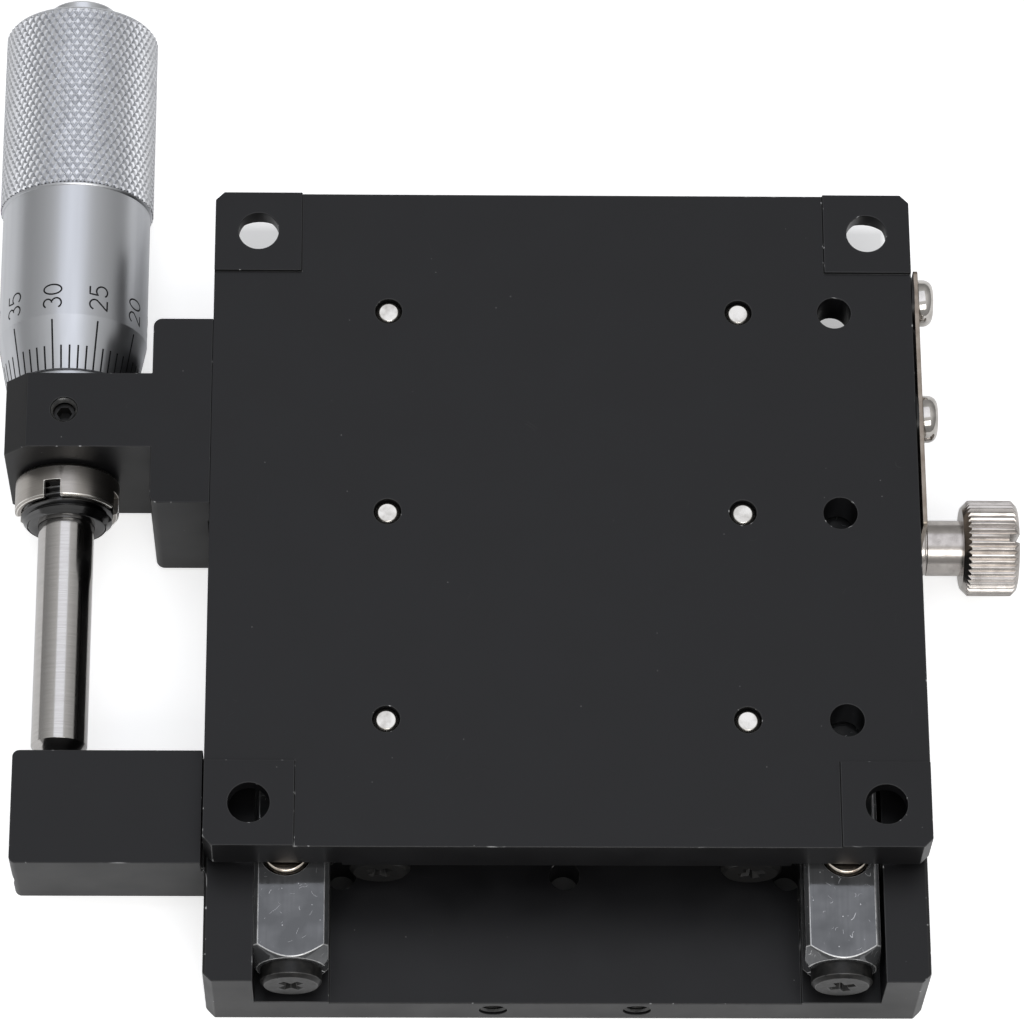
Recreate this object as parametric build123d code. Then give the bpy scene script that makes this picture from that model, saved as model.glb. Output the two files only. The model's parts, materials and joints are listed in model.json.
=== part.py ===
from build123d import *
import math
import os

# Manual translation stage on crossed-roller ways, driven by a micrometer head at its side.
# It lies on the outer face of its moving table, with the underside of its base up.
# X runs across the travel, Y along it, and Z = 0 is the outer face of the table.
# The origin stands under the centre of the base. All sizes are in millimetres.

# Both plates
plate_size = 80.0
plate_corner = 1.0
table_offset = -13.2
travel = 25.0
edge_break = 0.25

# Heights, from the outer face of the table up
table_floor = 5.6
table_wall = 5.0
floor_relief = 0.4
rail_height = 8.0
rail_to_flange = 0.6
flange_thickness = 5.4
pad_step = 0.4
wall_to_flange = 1.3
pedestal_to_floor = 0.8
pedestal_setback = 5.0

# Corner pads and mounting holes of the base
pad_size = 10.0
base_hole = 4.6
base_counterbore = 8.0
base_hole_land = 1.5
access_hole = 3.8

# Tapped holes of the table
grid_pitch = 25.0
grid_hole = 3.3
end_hole = 3.1
end_hole_pitch = 16.0
end_hole_height = 2.8
end_hole_depth = 8.0

# Rails and rollers
way_gap = 1.4
rail_width = 8.3
rail_setback = 2.5
rail_edge = 0.5
rail_end_radius = 3.85
rail_hole_pitch = 25.0
rail_hole_setback = 3.5
rail_hole_play = 0.4
groove_relief = 0.5
preload_gap = 0.5
roller_channel = 3.0
roller_play = 0.02
roller_length = 2.9
roller_edge = 0.2
roller_pitch = 5.0
roller_count = 10
cage_thickness = 0.8
cage_height = 6.0
cage_end = 2.5
cage_corner = 1.0
window_play = 0.07

# Screws: thread diameter, head diameter, head height, key or recess size
thread_play = 0.03
counterbore_play = 0.25
m3_thread = 3.0
m3_head = 5.5
m3_head_height = 3.0
m3_key = 2.5
m3_key_depth = 1.6
m3_tip = 0.45
m3_head_edge = 0.4
thread_run_out = 0.5
rail_screw_sink = 0.1
table_screw_length = 8.0
base_screw_length = 10.6
end_screw_head = 6.8
end_screw_head_height = 1.95
end_screw_edge = 0.45
end_screw_length = 6.0
end_screw_turns = (45.0, 25.0)
pan_head = 5.4
pan_head_height = 1.8
pan_head_round = 1.1
pan_screw_length = 6.0
recess_span = 3.1
recess_width = 0.95
recess_depth = 1.1
recess_taper = 0.5
set_screw_key = 1.5
set_screw_edge = 0.3

# Micrometer head, all turned about one line along Y
axis_reach = 16.7
axis_z = 9.5
spindle_d = 6.35
spindle_play = 0.04
tip_play = 0.02
tip_length = 2.58
tip_cone = 2.0
tip_radius = 1.3
stem_d = 10.4
stem_play = 0.05
stem_nose = 5.75
stem_nose_chamfer = 0.9
sleeve_d = 14.0
sleeve_length = 28.9
sleeve_tail = 6.0
ring_nut_wall = 0.75
ring_nut_length = 4.2
ring_nut_edge = 0.25
ring_nut_back_edge = 0.5
ring_nut_slot = 1.9
ring_nut_slot_depth = 2.0
ring_nut_turn = -13.5
adjust_nut_play = 0.2
adjust_nut_wall = 1.2
adjust_nut_length = 4.5
adjust_nut_slot = 1.2
adjust_nut_slot_depth = 1.5
thimble_gap = 1.8
thimble_lip = 0.35
thimble_side = 1.6
thimble_play = 0.08
bevel_length = 6.3
smooth_length = 16.6
knurl_rise = 0.35
knurl_length = 23.6
knurl_lead = 0.35
knurl_end = 0.35
thimble_wall = 5.5
hub_d = 5.0
hub_sink = 0.3
end_cap_d = 8.4
end_cap_height = 3.4
end_cap_edge = 0.3
end_cap_thread = 2.0
end_cap_bore = 3.0

# Bracket that holds the micrometer head, on the left side of the base
bracket_thickness = 6.8
bracket_bottom = 0.6
bracket_top = 19.5
bracket_setback = 16.0
bracket_length = 23.0
arm_setback = 6.9
arm_width = 9.2
arm_end = 6.8
arm_chamfer = 2.5
bracket_round = 1.0
slide_relief = 0.3
bracket_screw_z = 16.2
bracket_screw_inset = 3.5
bracket_screw_length = 10.0
bracket_screw_seat = 3.6
set_screw_sink = 1.2

# Anvil block on the left side of the table
anvil_reach = 21.4
anvil_setback = 26.0
anvil_width = 13.3
anvil_bottom = 4.5
anvil_top = 15.5
anvil_round = 0.8
anvil_screw_z = 8.7
anvil_screw_pitch = 6.8
anvil_screw_seat = 6.0
anvil_screw_length = 10.0

# Clamp plate and lock screw on the right side
clamp_thickness = 0.5
clamp_gap = 0.3
clamp_setback = 9.3
clamp_length = 32.0
clamp_bottom = 1.6
clamp_top = 19.4
clamp_round = 0.6
clamp_hole_play = 0.13
clamp_screw_inset = 3.1
clamp_screw_pitch = 14.7
clamp_screw_z = 16.9
washer_d = 6.0
lock_inset = 2.7
lock_z = 6.4
lock_thread = 3.0
lock_slot_play = 0.2
lock_slot_run_out = 0.25
lock_play = 0.1
lock_thread_length = 5.0
lock_collar_d = 6.4
lock_collar_length = 4.95
lock_groove_place = 0.7
lock_groove = 0.2
lock_head_d = 11.0
lock_head_length = 6.35
lock_flutes = 44
flute_depth = 0.35
lock_head_chamfer = 0.8
driver_slot = 0.9
driver_slot_depth = 1.2
driver_slot_turn = 100.0

# Return spring and its two pins
spring_z = 9.6
spring_coil = 2.15
spring_wire = 0.7
spring_turns = 12
spring_lead = 3.0
spring_step = 0.15
spring_play = 0.05
spring_pin_d = 3.0
spring_pin_edge = 0.3
spring_pin_setback = 9.0
spring_table_pin_setback = 23.2
spring_pin_seat = 3.0
base_pin_gap = 0.4
table_pin_gap = 0.6
channel_width = 7.2
channel_top = 13.2

# Heights and places that follow from the sizes above
half = plate_size / 2
relief_z = table_floor - floor_relief
seat_z = table_floor + rail_height
flange_z = seat_z + rail_to_flange
base_z = flange_z + flange_thickness
stage_z = base_z + pad_step
wall_z = flange_z - wall_to_flange
pedestal_z = relief_z + pedestal_to_floor
rail_z = table_floor + rail_height / 2
base_hole_pitch = plate_size - pad_size
rail_length = plate_size - 2 * rail_setback
way_x = half - table_wall - preload_gap - rail_width - way_gap / 2
base_rail_back = way_x - way_gap / 2 - rail_width
base_rail_face = way_x - way_gap / 2
table_rail_face = way_x + way_gap / 2
table_rail_back = way_x + way_gap / 2 + rail_width
base_screw_x = base_rail_back + rail_hole_setback
table_screw_x = table_rail_back - rail_hole_setback
rail_rows = (-rail_hole_pitch, 0.0, rail_hole_pitch)
counterbore_depth = m3_head_height + rail_screw_sink
counterbore_r = m3_head / 2 + counterbore_play
tapped_r = m3_thread / 2 + thread_play
spindle_r = spindle_d / 2
axis_x = -half - axis_reach
bracket_back = half - bracket_setback
bracket_front = bracket_back - bracket_length
arm_front = bracket_front + arm_setback
arm_back = arm_front + arm_width
anvil_face = table_offset - half + anvil_setback
ring_nut_d = stem_d + 2 * ring_nut_wall
adjust_nut_d = sleeve_d - 2 * adjust_nut_play
sleeve_tail_d = adjust_nut_d - 2 * adjust_nut_wall
thimble_lip_d = sleeve_d + 2 * thimble_lip
thimble_d = sleeve_d + 2 * thimble_side
knurl_d = thimble_d + 2 * knurl_rise
sleeve_back = arm_back + sleeve_length + sleeve_tail
thimble_front = arm_back + thimble_gap
thimble_back = thimble_front + bevel_length + smooth_length + knurl_length
thimble_inside = thimble_back - thimble_wall
bracket_left = -half - bracket_thickness
arm_left = axis_x - arm_end
clamp_x = half + clamp_gap
clamp_face = clamp_x + clamp_thickness
clamp_back = half - clamp_setback
clamp_front = clamp_back - clamp_length
clamp_screw_y = (clamp_back - clamp_screw_inset - clamp_screw_pitch, clamp_back - clamp_screw_inset)
lock_y = clamp_front + lock_inset
spring_pin_y = half - spring_pin_setback
spring_table_pin_y = table_offset - half + spring_table_pin_setback


def bar(radius, start, end):
    """Round bar from one point to another."""
    line = Vector(*end) - Vector(*start)
    return extrude(Plane(origin=start, z_dir=line.normalized()) * Circle(radius), amount=line.length)


def slab(x, y, z):
    """Block between two values on each axis."""
    sketch = Pos((x[0] + x[1]) / 2, (y[0] + y[1]) / 2, z[0]) * Rectangle(x[1] - x[0], y[1] - y[0])
    return extrude(sketch, amount=z[1] - z[0])


def plane_xz(y):
    """Drawing plane across the travel: local x is X and local y is Z."""
    return Plane(origin=(0, y, 0), x_dir=(1, 0, 0), z_dir=(0, -1, 0))


def section_along_y(points, front, back):
    """Closed outline of (x, z) points, run along Y."""
    return extrude(plane_xz(back) * make_face(Polyline(*points, close=True)), amount=back - front)


def turned(points, x=axis_x, z=axis_z):
    """Turned body about a line along Y, from an outline of (radius, y) points."""
    outline = Pos(x, 0, z) * make_face(Polyline(*points, close=True))
    return revolve(outline, axis=Axis((x, 0, z), (0, 1, 0)))


def mirrored(shape):
    """The same shape on the other side of the middle plane."""
    return mirror(shape, about=Plane.YZ)


def plate_outline(y):
    """Square plate outline with chamfered corners, centred at the given Y."""
    square = Rectangle(plate_size, plate_size)
    return Pos(0, y) * chamfer(square.vertices(), plate_corner)


def cross_recess(span, width, depth):
    """Cross-shaped driver recess that narrows downward from Z = 0."""
    wings = []
    for turn in (0, 90):
        top = Rot(0, 0, turn) * Rectangle(span, width)
        bottom = Pos(0, 0, -depth) * Rot(0, 0, turn) * Rectangle(span * recess_taper, width * recess_taper)
        wings.append(loft([top, bottom]))
    return wings[0] + wings[1]


def screw_body(head_r, head_height, length, head_edge):
    """Headed screw, seat at Z = 0 and shank downward."""
    r = m3_thread / 2
    outline = Polyline(
        (0, -length),
        (r - m3_tip, -length),
        (r, -length + m3_tip),
        (r, 0),
        (head_r, 0),
        (head_r, head_height - head_edge),
        (head_r - head_edge, head_height),
        (0, head_height),
        close=True,
    )
    return revolve(Plane.XZ * make_face(outline), axis=Axis.Z)


def cap_screw(length):
    """Socket head cap screw, seat at Z = 0 and shank downward."""
    screw = screw_body(m3_head / 2, m3_head_height, length, m3_head_edge)
    key = Pos(0, 0, m3_head_height - m3_key_depth) * RegularPolygon(m3_key / 2, 6, major_radius=False)
    return screw - extrude(key, amount=m3_key_depth)


def end_screw():
    """Flat cylinder head screw with a cross recess, seat at Z = 0 and shank downward."""
    screw = screw_body(end_screw_head / 2, end_screw_head_height, end_screw_length, end_screw_edge)
    return screw - Pos(0, 0, end_screw_head_height) * cross_recess(recess_span, recess_width, recess_depth)


def pan_screw():
    """Pan head screw with rounded shoulders and a cross recess, seat at Z = 0 and shank downward."""
    r, head_r, c = m3_thread / 2, pan_head / 2, pan_head_round
    rim = pan_head_height - c
    lean = c * math.sqrt(0.5)
    profile = Polyline((0, pan_head_height), (0, -pan_screw_length), (r - m3_tip, -pan_screw_length),
                       (r, m3_tip - pan_screw_length), (r, 0), (head_r, 0), (head_r, rim))
    shoulder = ThreePointArc((head_r, rim), (head_r - c + lean, rim + lean), (head_r - c, pan_head_height))
    crown = Line((head_r - c, pan_head_height), (0, pan_head_height))
    screw = revolve(Plane.XZ * make_face([profile, shoulder, crown]), axis=Axis.Z)
    return screw - Pos(0, 0, pan_head_height) * cross_recess(recess_span, recess_width, recess_depth)


def set_screw(length):
    """Headless socket screw from Z = 0 downward."""
    r = m3_thread / 2
    outline = Polyline((0, -length), (r - m3_tip, -length), (r, m3_tip - length), (r, -set_screw_edge),
                       (r - set_screw_edge, 0), (0, 0), close=True)
    key = RegularPolygon(set_screw_key / 2, 6, major_radius=False)
    return revolve(Plane.XZ * make_face(outline), axis=Axis.Z) - extrude(key, amount=-m3_key_depth)


def group(shapes):
    """Separate solids that share one node."""
    return Compound(children=[s.solid() for s in shapes])


def make_base_plate():
    """Base: flange with corner pads, and a pedestal between the inner rails."""
    outline = plate_outline(0)
    corners = Sketch() + [
        place * Rectangle(pad_size, pad_size)
        for place in GridLocations(base_hole_pitch, base_hole_pitch, 2, 2)
    ]
    plate = extrude(Pos(0, 0, flange_z) * outline, amount=flange_thickness)
    plate = chamfer(plate.edges().group_by(Axis.Z)[0], edge_break)
    plate += extrude(Pos(0, 0, base_z) * (corners & outline), amount=pad_step)
    plate += slab((-base_rail_face, base_rail_face), (-half, half), (seat_z, flange_z + edge_break))
    pedestal = [
        (-base_rail_back, seat_z),
        (-base_rail_back, pedestal_z + rail_edge),
        (-base_rail_back + rail_edge, pedestal_z),
        (base_rail_back - rail_edge, pedestal_z),
        (base_rail_back, pedestal_z + rail_edge),
        (base_rail_back, seat_z),
    ]
    plate += section_along_y(pedestal, pedestal_setback - half, half - pedestal_setback)
    return plate - base_plate_cuts()


def base_plate_cuts():
    """Holes and the spring channel of the base."""
    cuts = []
    for place in GridLocations(base_hole_pitch, base_hole_pitch, 2, 2):
        x, y = place.position.X, place.position.Y
        cuts.append(bar(base_hole / 2, (x, y, flange_z), (x, y, stage_z)))
        cuts.append(bar(base_counterbore / 2, (x, y, flange_z), (x, y, base_z - base_hole_land)))
    for y in rail_rows:
        cuts.append(bar(access_hole / 2, (table_screw_x, y, flange_z), (table_screw_x, y, base_z)))
        for x in (-base_screw_x, base_screw_x):
            cuts.append(bar(tapped_r, (x, y, seat_z), (x, y, base_z)))
    for y in bracket_screw_rows():
        tip = bracket_left + bracket_screw_seat + bracket_screw_length + thread_run_out
        cuts.append(bar(tapped_r, (-half, y, bracket_screw_z), (tip, y, bracket_screw_z)))
    for y in clamp_screw_y:
        tip = clamp_face - pan_screw_length - thread_run_out
        cuts.append(bar(tapped_r, (tip, y, clamp_screw_z), (half, y, clamp_screw_z)))
    channel_end = spring_pin_y + spring_pin_d
    channel = Pos(0, (channel_end - half) / 2) * Rectangle(channel_width, channel_end + half)
    channel += Pos(0, channel_end) * Circle(channel_width / 2)
    cuts.append(extrude(Pos(0, 0, pedestal_z) * channel, amount=channel_top - pedestal_z))
    pin_top = channel_top + spring_pin_seat
    cuts.append(bar(spring_pin_d / 2 + thread_play, (0, spring_pin_y, channel_top), (0, spring_pin_y, pin_top)))
    return cuts


def make_table_plate():
    """Table: U-shaped plate whose two walls hold the outer rails."""
    outer_wall = table_rail_back + preload_gap
    section = [
        (-half, edge_break),
        (-half + edge_break, 0),
        (half - edge_break, 0),
        (half, edge_break),
        (half, wall_z - edge_break),
        (half - edge_break, wall_z),
        (outer_wall, wall_z),
        (outer_wall, table_floor),
        (table_rail_face, table_floor),
        (table_rail_face, relief_z),
        (-table_rail_face, relief_z),
        (-table_rail_face, table_floor),
        (-table_rail_back, table_floor),
        (-table_rail_back, wall_z),
        (-half + edge_break, wall_z),
        (-half, wall_z - edge_break),
    ]
    front, back = table_offset - half, table_offset + half
    plate = section_along_y(section, front, back)
    plate = plate & extrude(plate_outline(table_offset), amount=wall_z)
    return plate - table_plate_cuts(front)


def table_plate_cuts(front):
    """Holes of the table."""
    cuts = []
    for place in GridLocations(grid_pitch, grid_pitch, 3, 3):
        x, y = place.position.X, place.position.Y + table_offset
        cuts.append(bar(grid_hole / 2, (x, y, 0), (x, y, table_floor)))
    for x in (-end_hole_pitch / 2, end_hole_pitch / 2):
        cuts.append(bar(end_hole / 2, (x, front, end_hole_height), (x, front + end_hole_depth, end_hole_height)))
    screw_tip = seat_z - counterbore_depth - table_screw_length
    for row in rail_rows:
        y = row + table_offset
        for x in (-table_screw_x, table_screw_x):
            cuts.append(bar(tapped_r, (x, y, screw_tip - thread_run_out), (x, y, table_floor)))
        cuts.append(bar(tapped_r, (table_rail_back, y, rail_z), (half, y, rail_z)))
    for y in anvil_screw_rows():
        cuts.append(bar(tapped_r, (-half, y, anvil_screw_z), (-table_rail_back, y, anvil_screw_z)))
    lock_end = clamp_face + lock_play - lock_thread_length - thread_run_out
    lock_r = lock_thread / 2 + thread_play
    cuts.append(bar(lock_r, (lock_end, lock_y, lock_z), (half, lock_y, lock_z)))
    y = spring_table_pin_y
    cuts.append(bar(spring_pin_d / 2 + thread_play, (0, y, relief_z - spring_pin_seat), (0, y, relief_z)))
    return cuts


def make_rail(counterbore_up):
    """Crossed-roller rail, centred at X = Z = 0, with its groove on the -X side.

    Its ends are turned to a cone about the end screw, as on ground rails.
    """
    w, h, e = rail_width / 2, rail_height / 2, rail_edge
    mouth = roller_channel / math.sqrt(2) - way_gap / 2
    slot = groove_relief / 2
    section = [
        (w - e, -h), (w, -h + e), (w, h - e), (w - e, h), (-w + e, h), (-w, h - e),
        (-w, mouth), (-w + mouth - slot, slot), (-w + mouth + slot, slot),
        (-w + mouth + slot, -slot), (-w + mouth - slot, -slot), (-w, -mouth),
        (-w, -h + e), (-w + e, -h),
    ]
    end = rail_length / 2
    reach = rail_width
    ends = [(0, -end), (rail_end_radius, -end), (reach, -end + reach - rail_end_radius),
            (reach, end - reach + rail_end_radius), (rail_end_radius, end), (0, end)]
    rail = section_along_y(section, -end, end) & turned(ends, 0, 0)
    hole_x = w - rail_hole_setback
    seat = h - counterbore_depth
    cuts = []
    for y in rail_rows:
        cuts.append(bar(m3_thread / 2 + rail_hole_play / 2, (hole_x, y, -h), (hole_x, y, h)))
        cuts.append(bar(counterbore_r, (hole_x, y, seat), (hole_x, y, h)))
    for side in (-1, 1):
        cuts.append(bar(tapped_r, (0, side * end, 0), (0, side * (end - end_screw_length - thread_run_out), 0)))
    rail = rail - cuts
    if counterbore_up:
        return rail
    return Rot(0, 180, 0) * rail


def table_rail_x():
    """Middle of the right table rail."""
    return table_rail_face + rail_width / 2


def base_rail_x():
    """Middle of the right base rail."""
    return base_rail_face - rail_width / 2


def make_rail_screws(x, rows_centre, seat, length, flip):
    """Six cap screws that hold one pair of rails."""
    turn = Rot(180, 0, 0) if flip else Rot(0, 0, 0)
    return group([
        Pos(side * x, y + rows_centre, seat) * turn * cap_screw(length)
        for side in (-1, 1) for y in rail_rows
    ])


def make_end_screws(x, centre):
    """End screws of one pair of rails, one in each end, with their recesses as they came to rest."""
    screws = []
    for side, turn in zip((-1, 1), end_screw_turns):
        screw = Rot(0, 0, turn) * end_screw()
        screws.append(Pos(side * x, centre - rail_length / 2, rail_z) * Rot(90, 0, 0) * screw)
        screws.append(Pos(side * x, centre + rail_length / 2, rail_z) * Rot(-90, 0, 0) * screw)
    return group(screws)


def roller_rows():
    """Places of the rollers along the travel: the cage lags the table by half."""
    first = table_offset / 2 - roller_pitch * (roller_count - 1) / 2
    return [first + roller_pitch * i for i in range(roller_count)]


def make_cage(x):
    """Flat cage with one window for each roller."""
    rows = roller_rows()
    length = rows[-1] - rows[0] + roller_pitch + cage_end * 2 - 2 * window_play
    strip = Rectangle(length, cage_height)
    strip = fillet(strip.vertices(), cage_corner)
    side = roller_channel + 2 * (window_play - roller_play)
    for y in rows:
        strip -= Pos(y - table_offset / 2, 0) * Rectangle(side, roller_channel * math.sqrt(2) + 2 * window_play)
    plane = Plane(origin=(x - cage_thickness / 2, table_offset / 2, rail_z), x_dir=(0, 1, 0), z_dir=(1, 0, 0))
    return extrude(plane * strip, amount=cage_thickness)


def make_rollers(x):
    """Rollers with their axes crossed, one to the next."""
    roller = Cylinder(roller_channel / 2 - roller_play, roller_length)
    roller = chamfer(roller.edges().filter_by(GeomType.CIRCLE), roller_edge)
    return group([
        Pos(x, y, rail_z) * Rot(0, 45 if i % 2 else -45, 0) * roller
        for i, y in enumerate(roller_rows())
    ])


def make_preload_screws():
    """Set screws in the right wall that press the outer rail onto the rollers."""
    length = half - edge_break - table_rail_back
    return group([
        Pos(half - edge_break, y + table_offset, rail_z) * Rot(0, 90, 0) * set_screw(length)
        for y in rail_rows
    ])


def bracket_screw_rows():
    """Y of the two screws that hold the bracket."""
    return (bracket_front + bracket_screw_inset, bracket_back - bracket_screw_inset)


def make_bracket():
    """Bracket with an arm that carries the micrometer head."""
    mount = Pos((bracket_left - half) / 2, (bracket_front + bracket_back) / 2)
    mount *= Rectangle(bracket_thickness, bracket_back - bracket_front)
    mount = fillet(mount.vertices().group_by(Axis.X)[0], bracket_round)
    height = bracket_top - bracket_bottom
    block = extrude(Pos(0, 0, bracket_bottom) * mount, amount=height)
    c = arm_chamfer
    arm = [(bracket_left + 1, bracket_bottom), (bracket_left + 1, bracket_top), (arm_left + c, bracket_top),
           (arm_left, bracket_top - c), (arm_left, bracket_bottom + c), (arm_left + c, bracket_bottom)]
    block += section_along_y(arm, arm_front, arm_back)
    block -= slab((-half - slide_relief, -half), (bracket_front, bracket_back), (bracket_bottom, flange_z))
    block -= bar(stem_d / 2 + stem_play, (axis_x, arm_front, axis_z), (axis_x, arm_back, axis_z))
    middle = (arm_front + arm_back) / 2
    block -= bar(tapped_r, (axis_x, middle, axis_z), (axis_x, middle, bracket_top))
    seat = bracket_left + bracket_screw_seat
    for y in bracket_screw_rows():
        block -= bar(tapped_r, (bracket_left, y, bracket_screw_z), (-half, y, bracket_screw_z))
        block -= bar(counterbore_r, (bracket_left, y, bracket_screw_z), (seat, y, bracket_screw_z))
    return block


def make_bracket_screws():
    """Two cap screws from the left, through the bracket into the base."""
    seat = bracket_left + bracket_screw_seat
    return group([
        Pos(seat, y, bracket_screw_z) * Rot(0, -90, 0) * cap_screw(bracket_screw_length)
        for y in bracket_screw_rows()
    ])


def make_sleeve_set_screw():
    """Set screw in the arm that holds the stem of the micrometer head."""
    top = bracket_top - set_screw_sink
    length = top - (axis_z + stem_d / 2 + tip_play)
    return Pos(axis_x, (arm_front + arm_back) / 2, top) * set_screw(length)


def make_sleeve():
    """Fixed sleeve of the micrometer head, with its threaded stem through the arm."""
    bore = spindle_r + spindle_play
    nose = arm_front - stem_nose
    c = stem_nose_chamfer
    tail = sleeve_back - sleeve_tail
    return turned([
        (bore, nose), (stem_d / 2 - c, nose), (stem_d / 2, nose + c), (stem_d / 2, arm_back),
        (sleeve_d / 2, arm_back), (sleeve_d / 2, tail), (sleeve_tail_d / 2, tail),
        (sleeve_tail_d / 2, sleeve_back), (bore, sleeve_back),
    ])


def make_ring_nut():
    """Slotted ring nut that draws the stem up against the arm."""
    back = arm_front
    front = arm_front - ring_nut_length
    r_in, r_out = stem_d / 2 + thread_play, ring_nut_d / 2
    nut = turned([(r_in, front), (r_out - ring_nut_edge, front), (r_out, front + ring_nut_edge),
                  (r_out, back - ring_nut_back_edge), (r_out - ring_nut_back_edge, back), (r_in, back)])
    spot = (axis_x, front, axis_z)
    for i in range(2):
        cut = Rot(0, ring_nut_turn + 90 * i, 0) * slab(
            (-ring_nut_slot / 2, ring_nut_slot / 2), (0, ring_nut_slot_depth), (-ring_nut_d, ring_nut_d))
        nut -= Pos(*spot) * cut
    return nut


def make_adjusting_nut():
    """Nut on the tail of the sleeve that takes up play in the screw."""
    front = sleeve_back - adjust_nut_length
    nut = turned([(sleeve_tail_d / 2 + thread_play, front), (adjust_nut_d / 2, front),
                  (adjust_nut_d / 2, sleeve_back), (sleeve_tail_d / 2 + thread_play, sleeve_back)])
    width, depth = adjust_nut_slot / 2, adjust_nut_slot_depth
    return nut - slab((axis_x - width, axis_x + width), (sleeve_back - depth, sleeve_back),
                      (axis_z - adjust_nut_d, axis_z + adjust_nut_d))


def make_spindle():
    """Spindle with a coned and rounded tip, which the thimble turns and pulls."""
    tip = anvil_face + tip_play
    rim = tip + tip_length
    cone = rim - tip_cone
    c = m3_thread / 2 + thread_play
    hub_end = thimble_back - hub_sink
    body = Polyline((tip_radius, rim - tip_cone), (spindle_r, rim), (spindle_r, thimble_inside),
                    (hub_d / 2, thimble_inside), (hub_d / 2, hub_end), (c, hub_end),
                    (c, thimble_inside - end_cap_bore), (0, thimble_inside - end_cap_bore), (0, tip))
    crown = ThreePointArc((0, tip), (tip_radius * 0.55, tip + (cone - tip) * 0.22), (tip_radius, cone))
    outline = Pos(axis_x, 0, axis_z) * make_face([body, crown])
    return revolve(outline, axis=Axis((axis_x, 0, axis_z), (0, 1, 0)))


def make_thimble():
    """Thimble: bevelled scale edge, smooth barrel and knurled grip."""
    bore = sleeve_d / 2 + thimble_play
    bevel_back = thimble_front + bevel_length
    grip = bevel_back + smooth_length
    hub = hub_d / 2 + thread_play
    r, g = thimble_d / 2, knurl_d / 2
    return turned([
        (bore, thimble_front), (thimble_lip_d / 2, thimble_front), (r, bevel_back), (r, grip),
        (g, grip + knurl_lead), (g, thimble_back - knurl_end), (g - knurl_end, thimble_back),
        (hub, thimble_back), (hub, thimble_inside), (bore, thimble_inside),
    ])


def make_end_cap():
    """Small cap screw that holds the thimble on the spindle."""
    r, c, shank = end_cap_d / 2, end_cap_edge, m3_thread / 2
    start, end = thimble_inside - end_cap_thread, thimble_back + end_cap_height
    return turned([(0, start), (shank, start), (shank, thimble_back), (r, thimble_back),
                   (r, end - c), (r - c, end), (0, end)])


def anvil_screw_rows():
    """Y of the two screws that hold the anvil block."""
    middle = anvil_face - anvil_width / 2
    return (middle - anvil_screw_pitch / 2, middle + anvil_screw_pitch / 2)


def make_anvil_block():
    """Block on the table that the spindle pushes against."""
    left = -half - anvil_reach
    front = anvil_face - anvil_width
    block = slab((left, -half), (front, anvil_face), (anvil_bottom, anvil_top))
    block = fillet(block.edges().group_by(Axis.X)[0].filter_by(Axis.Z), anvil_round)
    block -= slab((-half - slide_relief, -half), (front, anvil_face), (wall_z, anvil_top))
    seat = -half - anvil_screw_seat
    for y in anvil_screw_rows():
        block -= bar(tapped_r, (left, y, anvil_screw_z), (-half, y, anvil_screw_z))
        block -= bar(counterbore_r, (left, y, anvil_screw_z), (seat, y, anvil_screw_z))
    return block


def make_anvil_screws():
    """Two cap screws from the left, through the anvil block into the table wall."""
    return group([
        Pos(-half - anvil_screw_seat, y, anvil_screw_z) * Rot(0, -90, 0) * cap_screw(anvil_screw_length)
        for y in anvil_screw_rows()
    ])


def make_clamp_plate():
    """Thin plate on the base with a long slot, which the lock screw presses on."""
    length = clamp_back - clamp_front
    plate = Rectangle(length, clamp_top - clamp_bottom)
    plate = fillet(plate.vertices(), clamp_round)
    middle_y = (clamp_front + clamp_back) / 2
    middle_z = (clamp_bottom + clamp_top) / 2
    slot_width = lock_thread + 2 * lock_slot_play
    slot = Pos(lock_y + travel / 2 - middle_y, lock_z - middle_z)
    slot *= SlotCenterToCenter(travel + 2 * lock_slot_run_out, slot_width)
    hole = Circle(m3_thread / 2 + clamp_hole_play)
    holes = [Pos(y - middle_y, clamp_screw_z - middle_z) * hole for y in clamp_screw_y]
    plate = plate - slot - holes
    plane = Plane(origin=(clamp_x, middle_y, middle_z), x_dir=(0, 1, 0), z_dir=(1, 0, 0))
    return extrude(plane * plate, amount=clamp_thickness)


def make_clamp_washers():
    """Thin washers that hold the clamp plate clear of the table."""
    ring = Circle(washer_d / 2) - Circle(m3_thread / 2 + clamp_hole_play)
    plane = Plane(origin=(half, 0, 0), x_dir=(0, 1, 0), z_dir=(1, 0, 0))
    return group([
        extrude(plane * Pos(y, clamp_screw_z) * ring, amount=clamp_gap) for y in clamp_screw_y
    ])


def make_clamp_screws():
    """Two pan head screws that hold the clamp plate."""
    return group([
        Pos(clamp_face, y, clamp_screw_z) * Rot(0, 90, 0) * pan_screw()
        for y in clamp_screw_y
    ])


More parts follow.
